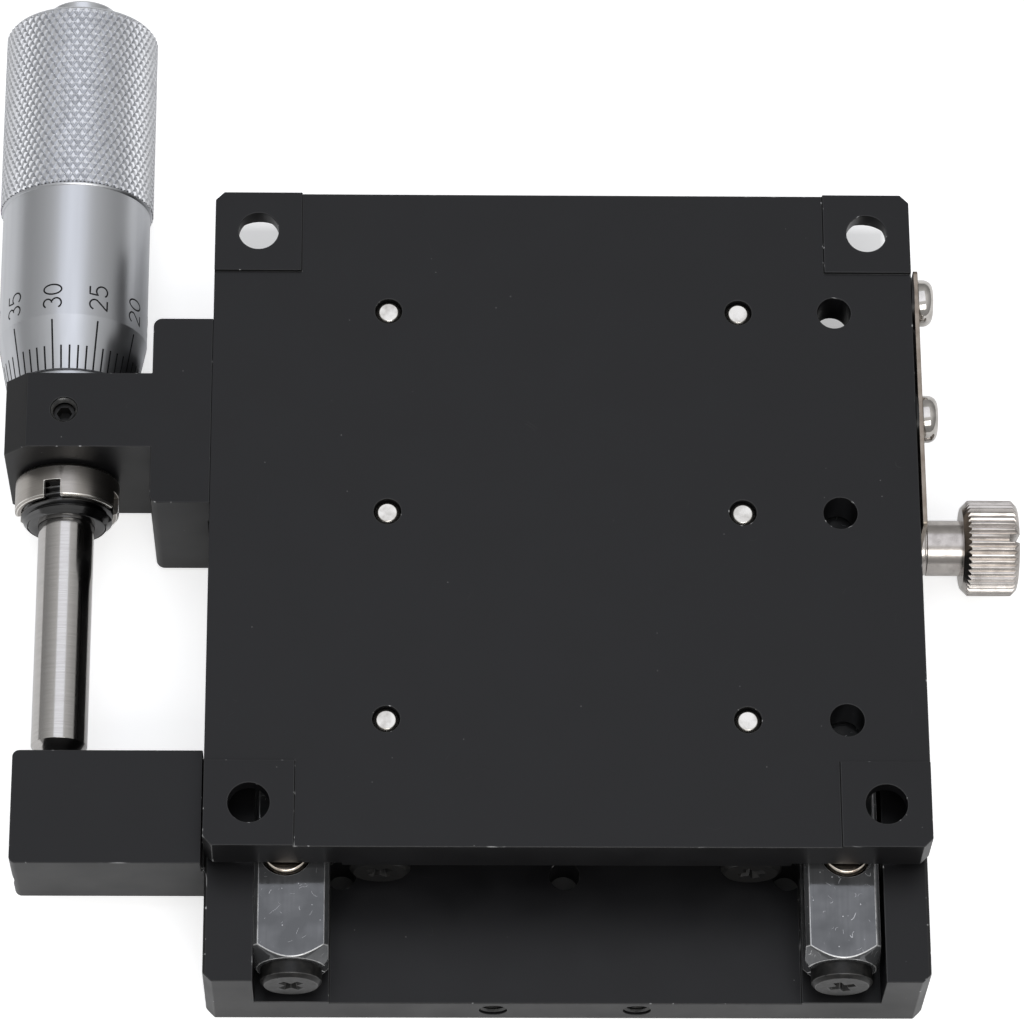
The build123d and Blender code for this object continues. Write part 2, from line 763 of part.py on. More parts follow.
def make_lock_screw():
    """Knurled thumb screw that clamps the plate against the table."""
    seat = clamp_face + lock_play
    head = seat + lock_collar_length
    end = head + lock_head_length
    r, c = lock_head_d / 2, lock_head_chamfer
    blank = Polyline((head, 0), (head, r - c), (head + c, r), (end - c * 0.75, r),
                     (end, r - c * 0.75), (end, 0), close=True)
    blank = revolve(make_face(blank), axis=Axis.X)
    step = 2 * math.pi / lock_flutes
    crest = []
    for i in range(lock_flutes):
        for share, radius in ((-0.3, r), (0.0, r), (0.35, r - flute_depth)):
            turn = step * (i + share)
            crest.append((radius * math.cos(turn), radius * math.sin(turn)))
    fluted = extrude(Plane(origin=(head, 0, 0), z_dir=(1, 0, 0)) * make_face(Polyline(*crest, close=True)),
                     amount=end - head)
    screw = blank & fluted
    screw += bar(lock_collar_d / 2, (seat, 0, 0), (head, 0, 0))
    screw += bar(lock_thread / 2, (seat - lock_thread_length, 0, 0), (seat, 0, 0))
    groove = Circle(lock_collar_d / 2) - Circle(lock_collar_d / 2 - lock_groove)
    place = Plane(origin=(seat + lock_groove_place, 0, 0), z_dir=(1, 0, 0))
    screw -= extrude(place * groove, amount=lock_groove)
    slot = slab((end - driver_slot_depth, end), (-r, r), (-driver_slot / 2, driver_slot / 2))
    screw -= Rot(driver_slot_turn, 0, 0) * slot
    return Pos(0, lock_y, lock_z) * screw


def hook_reach():
    """Distance from a spring pin to the middle of its hook."""
    return spring_coil - spring_step - spring_wire / 2 - spring_pin_d / 2 - spring_play


def spring_hook(pin_y, side):
    """Hook over a pin, and the straight run that joins it to the coil."""
    x = spring_coil - spring_step
    middle = pin_y - side * hook_reach()
    end = middle - side * (spring_lead + spring_wire / 4)
    section = Plane(origin=(x, middle, spring_z), z_dir=(0, 1, 0)) * Circle(spring_wire / 2)
    loop = revolve(section, axis=Axis((0, middle, spring_z), (0, 0, 1)), revolution_arc=side * 235)
    return loop + bar(spring_wire / 2, (x, end, spring_z), (x, middle, spring_z))


def make_spring():
    """Extension spring that pulls the table back against the spindle."""
    back = spring_pin_y - hook_reach() - spring_lead
    front = spring_table_pin_y + hook_reach() + spring_lead
    helix = Helix((back - front) / spring_turns, back - front, spring_coil,
                  center=(0, front, 0), direction=(0, 1, 0))
    coil = sweep(Plane(origin=helix @ 0, z_dir=helix % 0) * Circle(spring_wire / 2), path=helix)
    coil = Pos(0, 0, spring_z) * Rot(0, 90, 0) * coil
    return coil + spring_hook(spring_pin_y, 1) + spring_hook(spring_table_pin_y, -1)


def make_spring_pin(y, low, high):
    """Dowel that one end of the spring hooks over."""
    pin = bar(spring_pin_d / 2, (0, y, low), (0, y, high))
    return chamfer(pin.edges().filter_by(GeomType.CIRCLE), spring_pin_edge)


os.makedirs("parts", exist_ok=True)

table_rail = Pos(table_rail_x(), table_offset, rail_z) * make_rail(True)
base_rail = Pos(base_rail_x(), 0, rail_z) * make_rail(False)

nodes = {
    "base_plate": make_base_plate(),
    "base_rail_right": base_rail,
    "base_rail_left": mirrored(base_rail),
    "base_rail_screws": make_rail_screws(
        base_screw_x, 0, table_floor + counterbore_depth, base_screw_length, True),
    "base_rail_end_screws": make_end_screws(base_rail_x(), 0),
    "micrometer_bracket": make_bracket(),
    "bracket_screws": make_bracket_screws(),
    "sleeve_set_screw": make_sleeve_set_screw(),
    "micrometer_sleeve": make_sleeve(),
    "sleeve_ring_nut": make_ring_nut(),
    "spindle_adjusting_nut": make_adjusting_nut(),
    "clamp_plate": make_clamp_plate(),
    "clamp_plate_washers": make_clamp_washers(),
    "clamp_plate_screws": make_clamp_screws(),
    "base_spring_pin": make_spring_pin(
        spring_pin_y, pedestal_z + base_pin_gap, channel_top + spring_pin_seat),
    "return_spring": make_spring(),
    "table_plate": make_table_plate(),
    "table_rail_right": table_rail,
    "table_rail_left": mirrored(table_rail),
    "table_rail_screws": make_rail_screws(
        table_screw_x, table_offset, seat_z - counterbore_depth, table_screw_length, False),
    "table_rail_end_screws": make_end_screws(table_rail_x(), table_offset),
    "preload_set_screws": make_preload_screws(),
    "anvil_block": make_anvil_block(),
    "anvil_screws": make_anvil_screws(),
    "table_spring_pin": make_spring_pin(
        spring_table_pin_y, relief_z - spring_pin_seat, channel_top - table_pin_gap),
    "roller_cage_left": make_cage(-way_x),
    "roller_cage_right": make_cage(way_x),
    "crossed_rollers_left": make_rollers(-way_x),
    "crossed_rollers_right": make_rollers(way_x),
    "thimble": make_thimble(),
    "spindle": make_spindle(),
    "thimble_end_cap": make_end_cap(),
    "lock_screw": make_lock_screw(),
}

for name, shape in nodes.items():
    export_step(shape, f"parts/{name}.step")
    print(name, round(shape.volume, 2))
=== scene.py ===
"""Looks of a manual translation stage, lying on its table with the underside of its base up.

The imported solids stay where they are. This file gives them finishes, softens their edges, and adds
the knurl, the scales and the threads. Sizes are in millimetres where nothing else is said, and meshes
are in metres in the frame of the solids.
"""
import json
import logging
import math
from dataclasses import dataclass
from enum import Enum
from functools import cache
from typing import Callable, Optional, Sequence

import bmesh
import bpy
from mathutils import Matrix, Vector

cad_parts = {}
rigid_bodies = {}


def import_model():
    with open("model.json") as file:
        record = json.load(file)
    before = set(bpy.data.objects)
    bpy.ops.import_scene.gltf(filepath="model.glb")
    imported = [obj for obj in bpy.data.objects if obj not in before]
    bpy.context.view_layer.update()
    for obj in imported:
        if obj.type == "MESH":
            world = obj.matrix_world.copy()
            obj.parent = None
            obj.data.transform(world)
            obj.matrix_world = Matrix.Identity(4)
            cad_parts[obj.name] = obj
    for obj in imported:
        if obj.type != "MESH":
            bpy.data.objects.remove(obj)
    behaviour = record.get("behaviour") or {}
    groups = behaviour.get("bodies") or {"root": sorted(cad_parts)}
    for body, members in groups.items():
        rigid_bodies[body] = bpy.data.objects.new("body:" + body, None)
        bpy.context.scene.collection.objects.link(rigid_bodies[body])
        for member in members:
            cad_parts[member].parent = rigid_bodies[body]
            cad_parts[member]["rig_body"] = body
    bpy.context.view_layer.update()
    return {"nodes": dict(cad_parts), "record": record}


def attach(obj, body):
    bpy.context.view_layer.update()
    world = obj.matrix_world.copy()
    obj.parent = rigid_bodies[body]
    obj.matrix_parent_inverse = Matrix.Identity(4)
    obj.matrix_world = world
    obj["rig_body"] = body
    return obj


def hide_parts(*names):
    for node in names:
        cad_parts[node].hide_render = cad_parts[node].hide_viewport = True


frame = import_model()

MM = 0.001
WELD = 1e-6
FLAT = 0.2
SOFT = (0.3, 0.7)
LOG = logging.getLogger("stage")

Piece = bpy.types.Object
Socket = bpy.types.NodeSocket
Pair = tuple[float, float]
Triple = tuple[float, float, float]
Place = Triple
Colour = Triple


class Body(Enum):
    """Moving groups that the new pieces ride on."""

    BASE = "base"
    TABLE = "table"
    DRIVE = "micrometer_drive"
    LOCK = "lock"


class Crease(Enum):
    """Angles in degrees past which an edge stays sharp on a smooth piece."""

    TURNED = 50.0
    EASED = 40.0
    THREAD = 35.0
    KNURL = 20.0


# Work on meshes


def deselect() -> None:
    """Leaves nothing selected and no mesh open."""
    if bpy.context.object and bpy.context.object.mode != "OBJECT":
        bpy.ops.object.mode_set(mode="OBJECT")
    bpy.ops.object.select_all(action="DESELECT")


def take(*pieces: Piece) -> None:
    """Selects pieces and makes the first of them the active one.

    Args:
        pieces: The pieces.
    """
    deselect()
    for piece in pieces:
        piece.select_set(True)
    bpy.context.view_layer.objects.active = pieces[0]


def bring_in(name: str, data: Optional[bpy.types.ID]) -> Piece:
    """Adds an object to the scene.

    Args:
        name: Its name.
        data: Its mesh, curve, lamp or camera, if it has one.

    Returns:
        The object.
    """
    piece = bpy.data.objects.new(name, data)
    bpy.context.scene.collection.objects.link(piece)
    return piece


def open_mesh(piece: Piece) -> None:
    """Opens a piece in edit mode with everything selected.

    Args:
        piece: The piece.
    """
    take(piece)
    bpy.ops.object.mode_set(mode="EDIT")
    bpy.ops.mesh.select_all(action="SELECT")


def close_mesh() -> None:
    """Leaves edit mode."""
    bpy.ops.object.mode_set(mode="OBJECT")


def close_outward() -> None:
    """Turns all faces of the open mesh outwards and leaves edit mode."""
    bpy.ops.mesh.select_all(action="SELECT")
    bpy.ops.mesh.normals_make_consistent(inside=False)
    close_mesh()


def select_points(piece: Piece, test: Callable[[Vector], bool]) -> None:
    """Selects the points of an open mesh that pass a test.

    Args:
        piece: The piece in edit mode.
        test: Says whether a point at a place is chosen.
    """
    bpy.ops.mesh.select_mode(type="VERT")
    bpy.ops.mesh.select_all(action="DESELECT")
    shape = bmesh.from_edit_mesh(piece.data)
    for point in shape.verts:
        point.select = test(point.co)
    shape.select_flush_mode()
    bmesh.update_edit_mesh(piece.data)


def cut_ends(front: float, back: float) -> None:
    """Cuts an open mesh off in front of one place along Y and behind another.

    Args:
        front: Where it starts afterwards.
        back: Where it ends afterwards.
    """
    for place, normal in ((front, -1), (back, 1)):
        bpy.ops.mesh.select_all(action="SELECT")
        bpy.ops.mesh.bisect(plane_co=(0, place * MM, 0), plane_no=(0, normal, 0), clear_outer=True)


def add_modifier(piece: Piece, kind: str, **values: object) -> None:
    """Adds a modifier to a piece and applies it.

    Args:
        piece: The piece it shapes.
        kind: Blender's name of the modifier type.
        values: Settings of the modifier.
    """
    take(piece)
    step = piece.modifiers.new(kind.lower(), kind)
    for key, value in values.items():
        setattr(step, key, value)
    bpy.ops.object.modifier_apply(modifier=step.name)


def round_edges(piece: Piece, width: float, angle: float, **more: object) -> None:
    """Bevels the edges of a piece that are sharper than an angle in degrees."""
    add_modifier(piece, "BEVEL", width=width * MM, segments=2, limit_method="ANGLE",
                 angle_limit=math.radians(angle), use_clamp_overlap=False, **more)


def settle(piece: Piece) -> None:
    """Puts the place, turn and size of a piece into its mesh."""
    take(piece)
    bpy.ops.object.transform_apply(location=True, rotation=True, scale=True)


def shade(piece: Piece, crease: Crease, weighted: bool = False) -> None:
    """Shades a piece smooth.

    Args:
        piece: The piece.
        crease: Which edges stay sharp.
        weighted: Whether large faces look flat between rounded edges.
    """
    take(piece)
    bpy.ops.object.shade_smooth_by_angle(angle=math.radians(crease.value))
    if weighted:
        add_modifier(piece, "WEIGHTED_NORMAL", keep_sharp=True)


def join(pieces: Sequence[Piece], name: str) -> Piece:
    """Makes one piece of several.

    Args:
        pieces: What is joined.
        name: Name of the result.

    Returns:
        The joined piece.
    """
    take(*pieces)
    bpy.ops.object.join()
    pieces[0].name = name
    return pieces[0]


def draw(name: str, corners: Sequence[Pair]) -> Piece:
    """Draws a line in the XY plane and leaves it open in edit mode.

    Args:
        name: Name of the piece.
        corners: Its corners as x and y.

    Returns:
        The line as a piece without faces.
    """
    deselect()
    bpy.ops.mesh.primitive_plane_add(size=MM)
    piece = bpy.context.active_object
    piece.name = name
    open_mesh(piece)
    bpy.ops.mesh.merge(type="CENTER")
    bpy.ops.transform.translate(value=(corners[0][0] * MM, corners[0][1] * MM, 0))
    for (x0, y0), (x1, y1) in zip(corners, corners[1:]):
        move = ((x1 - x0) * MM, (y1 - y0) * MM, 0)
        bpy.ops.mesh.extrude_region_move(TRANSFORM_OT_translate={"value": move})
    return piece


def lathe(name: str, outline: Sequence[Pair], steps: int = 144) -> Piece:
    """Turns a closed outline about the Y axis.

    Args:
        name: Name of the piece.
        outline: Corners of half the section as radius and y, in order.
        steps: Number of faces round the axis.

    Returns:
        The turned piece, round the Y axis.
    """
    piece = draw(name, outline)
    ends = [Vector((r * MM, y * MM, 0)) for r, y in (outline[0], outline[-1])]
    select_points(piece, lambda p: any((p - end).length < WELD for end in ends))
    bpy.ops.mesh.edge_face_add()
    bpy.ops.mesh.select_all(action="SELECT")
    bpy.ops.mesh.spin(steps=steps, angle=2 * math.pi, center=(0, 0, 0), axis=(0, 1, 0))
    bpy.ops.mesh.select_all(action="SELECT")
    bpy.ops.mesh.remove_doubles(threshold=WELD)
    close_outward()
    return piece


def ease(node: str, width: float, angle: float) -> Piece:
    """Copies a CAD node and rounds its edges a little, as handling does.

    The rounded edges take the second material of the copy, so that they can carry a painted highlight.

    Args:
        node: The CAD node, which the copy stands for.
        width: Width of the rounding.
        angle: Edges sharper than this are rounded, in degrees.

    Returns:
        The copy, on the body of the node.
    """
    source = frame["nodes"][node]
    piece = bring_in(node + "_eased", source.data.copy())
    open_mesh(piece)
    bpy.ops.mesh.customdata_custom_splitnormals_clear()
    bpy.ops.mesh.select_all(action="SELECT")
    bpy.ops.mesh.remove_doubles(threshold=WELD)
    bpy.ops.mesh.dissolve_limited(angle_limit=math.radians(FLAT))
    close_mesh()
    while len(piece.data.materials) < 2:
        piece.data.materials.append(None)
    round_edges(piece, width, angle, material=1, miter_outer="MITER_SHARP")
    shade(piece, Crease.EASED, weighted=True)
    slot = next(part["material_slot"] for part in frame["record"]["subparts"] if part["node"] == node)
    return hand_over(piece, Body(source["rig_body"]), slot, node)


def hand_over(piece: Piece, body: Body, slot: str, *stands_for: str) -> Piece:
    """Puts a finished piece on its body.

    Args:
        piece: The finished piece.
        body: The body it moves with.
        slot: Its material slot in the record; not used.
        stands_for: CAD nodes that it replaces.

    Returns:
        The piece.
    """
    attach(piece, body.value)
    if stands_for:
        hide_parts(*stands_for)
    LOG.info("%s rides on %s, %d faces", piece.name, body.value, len(piece.data.polygons))
    return piece


# Finishes


class Nodes:
    """Node tree with the few kinds of node that the finishes and the studio use."""

    def __init__(self, owner: bpy.types.Material | bpy.types.World) -> None:
        """Empties the tree of a material or of the world.

        Args:
            owner: What the tree belongs to.
        """
        owner.use_nodes = True
        self.tree = owner.node_tree
        self.tree.nodes.clear()

    def add(self, kind: str, **values: Socket | float | Sequence[float]) -> bpy.types.Node:
        """Adds a node.

        Args:
            kind: End of Blender's name for its kind.
            values: Values of its inputs, with _ for a space in their names.

        Returns:
            The node.
        """
        node = self.tree.nodes.new("ShaderNode" + kind)
        for key, value in values.items():
            self.put(node.inputs[key.replace("_", " ")], value)
        return node

    def put(self, socket: Socket, value: Socket | float | Sequence[float]) -> None:
        """Gives a socket its value.

        Args:
            socket: The socket.
            value: A varying value, which is linked, or a fixed one.
        """
        if isinstance(value, Socket):
            self.tree.links.new(value, socket)
        else:
            socket.default_value = value

    def sum(self, kind: str, a: Socket | float, b: Socket | float) -> Socket:
        """Arithmetic on two values.

        Args:
            kind: Blender's name of the operation.
            a: First value.
            b: Second value.

        Returns:
            The result.
        """
        node = self.add("Math")
        node.operation = kind
        self.put(node.inputs[0], a)
        self.put(node.inputs[1], b)
        return node.outputs["Value"]

    def span(self, source: Socket, low: float, high: float, start: float = 0.0, end: float = 1.0) -> Socket:
        """Stretches the part of a pattern from low to high, so that it runs from start to end."""
        node = self.add("MapRange", Value=source, From_Min=low, From_Max=high, To_Min=start, To_Max=end)
        return node.outputs["Result"]

    def blend(self, share: Socket, a: Colour | Socket, b: Colour) -> Socket:
        """Colour between two colours.

        Args:
            share: Share of the second colour, from 0 to 1.
            a: First colour, fixed or varying.
            b: Second colour.

        Returns:
            The colour.
        """
        node = self.add("Mix")
        node.data_type = "RGBA"
        ends = [socket for socket in node.inputs if socket.type == "RGBA"]
        for socket, colour in zip(ends, (a, b)):
            self.put(socket, colour if isinstance(colour, Socket) else (*colour, 1))
        self.put(node.inputs[0], share)
        return [socket for socket in node.outputs if socket.type == "RGBA"][0]

    def seen(self, camera: float, mirror: float) -> Socket:
        """Level that depends on what looks at a surface.

        Args:
            camera: Level for the camera.
            mirror: Level for reflections and glass.

        Returns:
            The level, which is 0 for all other light.
        """
        path = self.add("LightPath").outputs
        mirrored = self.sum("MAXIMUM", path["Is Glossy Ray"], path["Is Transmission Ray"])
        return self.sum("ADD", self.sum("MULTIPLY", path["Is Camera Ray"], camera),
                        self.sum("MULTIPLY", mirrored, mirror))


class Shader(Nodes):
    """Node tree of a finish, with patterns laid on the piece."""

    def __init__(self, name: str) -> None:
        """Starts a material.

        Args:
            name: Its name.
        """
        self.material = bpy.data.materials.new(name)
        super().__init__(self.material)
        self.place = self.add("TexCoord").outputs["Object"]

    def coat(self, **values: Socket | float) -> bpy.types.Material:
        """Puts a surface on the material.

        Args:
            values: Values of its inputs, with _ for a space in their names.

        Returns:
            The material.
        """
        surface = self.add("BsdfPrincipled", **values)
        self.add("OutputMaterial", Surface=surface.outputs["BSDF"])
        return self.material

    def noise(self, scale: float | Triple, detail: float = 2.0, distortion: float = 0.0) -> Socket:
        """Cloudy pattern from 0 to 1.

        Args:
            scale: Clouds per metre, or as many along x, y and z, which stretches them.
            detail: Layers of finer clouds.
            distortion: How much the clouds swirl.

        Returns:
            The pattern.
        """
        place = self.place
        if isinstance(scale, tuple):
            place = self.add("Mapping", Scale=scale, Vector=place).outputs["Vector"]
            scale = 1.0
        node = self.add("TexNoise", Scale=scale, Detail=detail, Distortion=distortion, Vector=place)
        return node.outputs["Fac"]

    def specks(self, scale: float, size: float) -> Socket:
        """Round spots, one in each cell and with a radius in cells: 1 on them and 0 off them."""
        cells = self.add("TexVoronoi", Scale=scale, Vector=self.place)
        return self.span(cells.outputs["Distance"], size, size / 2)

    def grain(self, height: Socket, depth: float) -> Socket:
        """Normal of a surface that a pattern of heights roughens."""
        return self.add("Bump", Strength=1.0, Distance=depth * MM, Height=height).outputs["Normal"]

    def scratches(self, scale: float, thin: float, share: float) -> Socket:
        """Short thin lines.

        Args:
            scale: Loops per metre that the lines are cut from.
            thin: Half the width of a line, as a share of the pattern.
            share: How much of the surface may carry lines, as a level of the mask.

        Returns:
            1 on the lines and 0 off them.
        """
        loops = self.sum("SUBTRACT", self.noise(scale, 0.0, distortion=0.6), 0.5)
        line = self.span(self.sum("ABSOLUTE", loops, 0.0), thin, 0.0)
        mask = self.span(self.noise(scale * 1.7, 1.0), share, share + 0.04)
        return self.sum("MULTIPLY", line, mask)


def grey(level: float) -> Colour:
    """Grey of one level."""
    return (level, level, level)


@dataclass(frozen=True)
class Anodised:
    """Black anodised aluminium: satin, faintly mottled, scratched, lightly dusted, with painted edge
    highlights.
    """

    name: str = "black_anodised"
    dark: Colour = (0.0043, 0.0042, 0.0048)
    light: Colour = (0.0073, 0.0072, 0.0080)
    dust: Colour = grey(0.16)
    scar: Colour = grey(0.022)
    gloss: float = 0.265
    rough: Pair = (0.32, 0.41)
    thin: float = 0.0022
    clear: float = 0.64
    specks: float = 520.0
    speck: float = 0.040
    bare: float = 0.56
    cloud: Pair = (150.0, 3.0)
    scuff: float = 210.0
    patch: float = 130.0
    fine: float = 7000.0
    depth: float = 0.0012

    def make(self) -> bpy.types.Material:
        """Builds the finish.

        Returns:
            The material.
        """
        s = Shader(self.name)
        cloud = s.noise(*self.cloud)
        ground = s.blend(s.span(cloud, *SOFT), self.dark, self.light)
        # Scratches and specks; on the edge copy their bright colours are a painted highlight.
        scratched_and_glinting = s.blend(s.scratches(self.scuff, self.thin, self.clear), ground, self.scar)
        dust_and_glint_patches = s.span(s.noise(self.patch, 0.0), self.bare, self.bare + 0.02)
        dust = s.sum("MULTIPLY", s.specks(self.specks, self.speck), dust_and_glint_patches)
        return s.coat(Specular_IOR_Level=self.gloss, Base_Color=s.blend(dust, scratched_and_glinting, self.dust),
                      Roughness=s.span(cloud, *SOFT, *self.rough),
                      Normal=s.grain(s.noise(self.fine), self.depth))


@dataclass(frozen=True)
class GroundSteel:
    """Ground rail steel: grey, nearly a mirror, with fine lines and handling scratches."""

    name: str = "ground_rail_steel"
    tone: Colour = (0.086, 0.088, 0.091)
    haze: Colour = (0.128, 0.130, 0.134)
    scar: Colour = (0.55, 0.55, 0.56)
    metal: float = 0.6
    lines: Triple = (3200.0, 45.0, 3200.0)
    long_scratch: Triple = (420.0, 0.006, 0.60)
    short_scratch: Triple = (760.0, 0.010, 0.64)
    speck: Pair = (1100.0, 0.10)
    patch: float = 330.0
    rough: Pair = (0.06, 0.12)
    worn_rough: float = 0.35
    depth: float = 0.0002

    def make(self) -> bpy.types.Material:
        """Builds the finish.

        Returns:
            The material.
        """
        s = Shader(self.name)
        lines = s.noise(self.lines, 3.0)
        scratch = s.sum("MAXIMUM", s.scratches(*self.long_scratch), s.scratches(*self.short_scratch))
        rare = s.span(s.noise(600.0, 1.0), 0.54, 0.60)
        worn = s.sum("MAXIMUM", scratch, s.sum("MULTIPLY", s.specks(*self.speck), rare))
        patch = s.span(s.noise(self.patch), 0.38, 0.62)
        film = s.sum("MULTIPLY", s.span(lines, 0.35, 0.65, 0.5, 1.0), patch)
        ground = s.blend(film, self.tone, self.haze)
        rough = s.span(lines, *SOFT, *self.rough)
        return s.coat(Metallic=self.metal, Base_Color=s.blend(worn, ground, self.scar),
                      Roughness=s.sum("ADD", rough, s.sum("MULTIPLY", worn, self.worn_rough)),
                      Normal=s.grain(lines, self.depth))


@dataclass(frozen=True)
class Coating:
    """Plated metal with a fine even grain and small stains, which two other finishes build on."""

    name: str
    tone: Colour
    stain: Colour
    rough: Pair = (0.20, 0.32)
    depth: float = 0.0015
    metal: float = 1.0
    gloss: float = 0.5
    cloud: float | Triple = 700.0
    detail: float = 4.0
    part: Pair = (0.45, 0.75)
    fine: Optional[float] = 6000.0

    def make(self) -> bpy.types.Material:
        """Builds the finish.

        Returns:
            The material.
        """
        s = Shader(self.name)
        cloud = s.noise(self.cloud, self.detail)
        heights = s.noise(self.fine) if self.fine else cloud
        return s.coat(Metallic=self.metal, Specular_IOR_Level=self.gloss,
                      Base_Color=s.blend(s.span(cloud, *self.part), self.tone, self.stain),
                      Roughness=s.span(cloud, *SOFT, *self.rough), Normal=s.grain(heights, self.depth))


@dataclass(frozen=True)
class TurnedMetal(Coating):
    """Bright metal with fine rings about the Y axis, or with bands along it."""

    depth: float = 0.0006
    cloud: float | Triple = (60.0, 9000.0, 60.0)
    detail: float = 2.0
    part: Pair = (0.35, 0.7)
    fine: Optional[float] = None


@dataclass(frozen=True)
class DarkCoat(Coating):
    """Black oxide or black paint."""

    metal: float = 0.0
    cloud: float | Triple = 1500.0
    detail: float = 3.0
    part: Pair = (0.4, 0.7)
    fine: Optional[float] = 5000.0


class Finish(Enum):
    """Finishes of the stage."""

    BLACK = Anodised()
    # Rounded edges of the black parts: lighter tone with bright scratches and specks, a painted highlight.
    BLACK_EDGE = Anodised("painted_highlight_anodised_edges", grey(0.006), grey(0.014), grey(0.42), grey(0.26), 0.40,
                          (0.30, 0.42), 0.02, 0.55, 950.0, 0.17, 0.50)
    RAIL = GroundSteel()
    # Rounded rail edges in light grey: a painted highlight.
    RAIL_EDGE = Coating("painted_highlight_rail_edges", grey(0.58), grey(0.20), (0.35, 0.50), 0.001)
    CHROME = TurnedMetal("satin_chrome_plate", (0.53, 0.54, 0.56), (0.51, 0.52, 0.54), (0.31, 0.37), 0.0001,
                         cloud=(900.0, 25.0, 900.0))
    KNURL = Coating("knurled_chrome_plate", (0.70, 0.71, 0.735), (0.61, 0.62, 0.645), (0.34, 0.44), 0.0006)
    CAP = TurnedMetal("turned_end_cap", (0.66, 0.67, 0.69), (0.60, 0.61, 0.63), (0.24, 0.34))
    SPINDLE = TurnedMetal("ground_spindle_steel", (0.50, 0.485, 0.47), (0.45, 0.435, 0.42), (0.11, 0.19),
                          0.0002, cloud=(300.0, 7500.0, 300.0))
    STEM = TurnedMetal("dark_threaded_stem", grey(0.12), grey(0.07), (0.12, 0.24), 0.0008,
                       cloud=(60.0, 3000.0, 60.0))
    RING_NUT = TurnedMetal("nickel_ring_nut", (0.405, 0.38, 0.352), (0.36, 0.338, 0.312), (0.30, 0.37),
                           0.00015, cloud=(200.0, 5000.0, 200.0))
    NICKEL = Coating("nickel_screw_plate", (0.57, 0.545, 0.515), (0.36, 0.345, 0.32), (0.05, 0.12), 0.0008)
    TIP = Coating("grained_screw_tips", (0.62, 0.60, 0.56), (0.40, 0.38, 0.35), (0.20, 0.34), 0.004)
    LOCK = Coating("dull_nickel_plate", (0.47, 0.44, 0.415), (0.35, 0.325, 0.305), (0.18, 0.28), 0.002)
    BRASSY = Coating("bright_cap_screw_plate", (0.86, 0.78, 0.68), (0.34, 0.25, 0.19), (0.10, 0.22), 0.003)
    CLAMP = Coating("blanked_clamp_strip", (0.29, 0.25, 0.21), (0.23, 0.19, 0.155), (0.30, 0.42))
    PIN = Coating("ground_pin_steel", grey(0.55), grey(0.45))
    WIRE = Coating("spring_wire", grey(0.40), grey(0.30))
    CAGE = Coating("cage_strip", (0.58, 0.58, 0.56), (0.50, 0.50, 0.48))
    ROLLER = Coating("lapped_roller_steel", grey(0.72), grey(0.66), (0.06, 0.12), 0.0003)
    # Light rims of the ring nut: a painted highlight.
    RIM = Coating("painted_highlight_rims", (0.78, 0.76, 0.72), (0.62, 0.60, 0.56), (0.20, 0.30), 0.001)
    OXIDE = DarkCoat("black_oxide_screws", grey(0.009), (0.018, 0.017, 0.016), (0.28, 0.42), gloss=0.25)
    # Lighter rims of the table rail end screws: a painted highlight.
    OXIDE_RIM = DarkCoat("painted_highlight_oxide_rims", grey(0.022), (0.060, 0.058, 0.056), (0.25, 0.40))
    THREAD = DarkCoat("tapped_hole_threads", grey(0.016), (0.045, 0.044, 0.042), (0.18, 0.32), gloss=0.60)
    SCALE_PAINT = DarkCoat("black_scale_paint", (0.006, 0.006, 0.007), (0.010, 0.010, 0.011), (0.5, 0.6),
                           gloss=0.2)

    @cache
    def material(self) -> bpy.types.Material:
        """Material of the finish, made at the first call."""
        return self.value.make()


def dress(piece: Piece, finish: Finish, edge: Optional[Finish] = None) -> None:
    """Gives a piece its finish.

    Args:
        piece: A new piece or a CAD node.
        finish: What it is coated with.
        edge: Finish of its rounded edges, if they differ.
    """
    slots = piece.data.materials
    if len(slots) == 0:
        slots.append(None)
    for i in range(len(slots)):
        slots[i] = (edge if edge and i == 1 else finish).material()
    LOG.info("%s is coated with %s", piece.name, finish.value.name)


# Sub-assemblies


class SubAssembly:
    """Pieces of the stage that are finished together."""

    def coat(self, finish: Finish, *nodes: str, width: float = 0.0, edge: Optional[Finish] = None,
             angle: float = 24.0) -> None:
        """Finishes CAD nodes, with their edges rounded where a width is given."""
        for node in nodes:
            dress(ease(node, width, angle) if width else frame["nodes"][node], finish, edge)


@dataclass
class BlackParts(SubAssembly):
    """Base, table, bracket and anvil block."""

    edge: float = 0.11

    def build(self) -> None:
        """Rounds the edges of the four black parts and coats them."""
        # The rounded edges of the black parts carry a painted highlight.
        self.coat(Finish.BLACK, "base_plate", "table_plate", "micrometer_bracket", "anvil_block",
                  width=self.edge, edge=Finish.BLACK_EDGE)


@dataclass
class TappedHole:
    """Thread that shows in the mouth of a tapped hole.

    The place is the middle of the mouth, and the turn about X takes the outward +Y of the lathe to the
    way that the hole opens.
    """

    name: str
    place: Place
    turn: float
    body: Body
    mouth: float = 0.25
    depth: float = 2.3
    radius: float = 1.53
    rise: float = 0.24
    pitch: float = 0.5
    flank: Pair = (0.06, 0.02)
    sink: float = 0.02
    steps: int = 48
    slot: str = "anodised_black"

    def build(self) -> None:
        """Adds the ring of thread crests."""
        root, crest = self.radius - self.sink, self.radius - self.rise
        outline = [(self.radius, -self.depth)]
        for i in range(int((self.depth - self.mouth) / self.pitch)):
            low = i * self.pitch - self.depth
            outline += [(root, low + self.flank[0]), (crest, low + self.pitch / 2),
                        (root, low + self.pitch - self.flank[1])]
        outline.append((self.radius, outline[-1][1] + self.sink / 2))
        thread = lathe(self.name, outline, self.steps)
        thread.data.transform(Matrix.Rotation(math.radians(self.turn), 4, "X"))
        thread.location = [value * MM for value in self.place]
        settle(thread)
        shade(thread, Crease.THREAD)
        dress(thread, Finish.THREAD)
        hand_over(thread, self.body, self.slot)


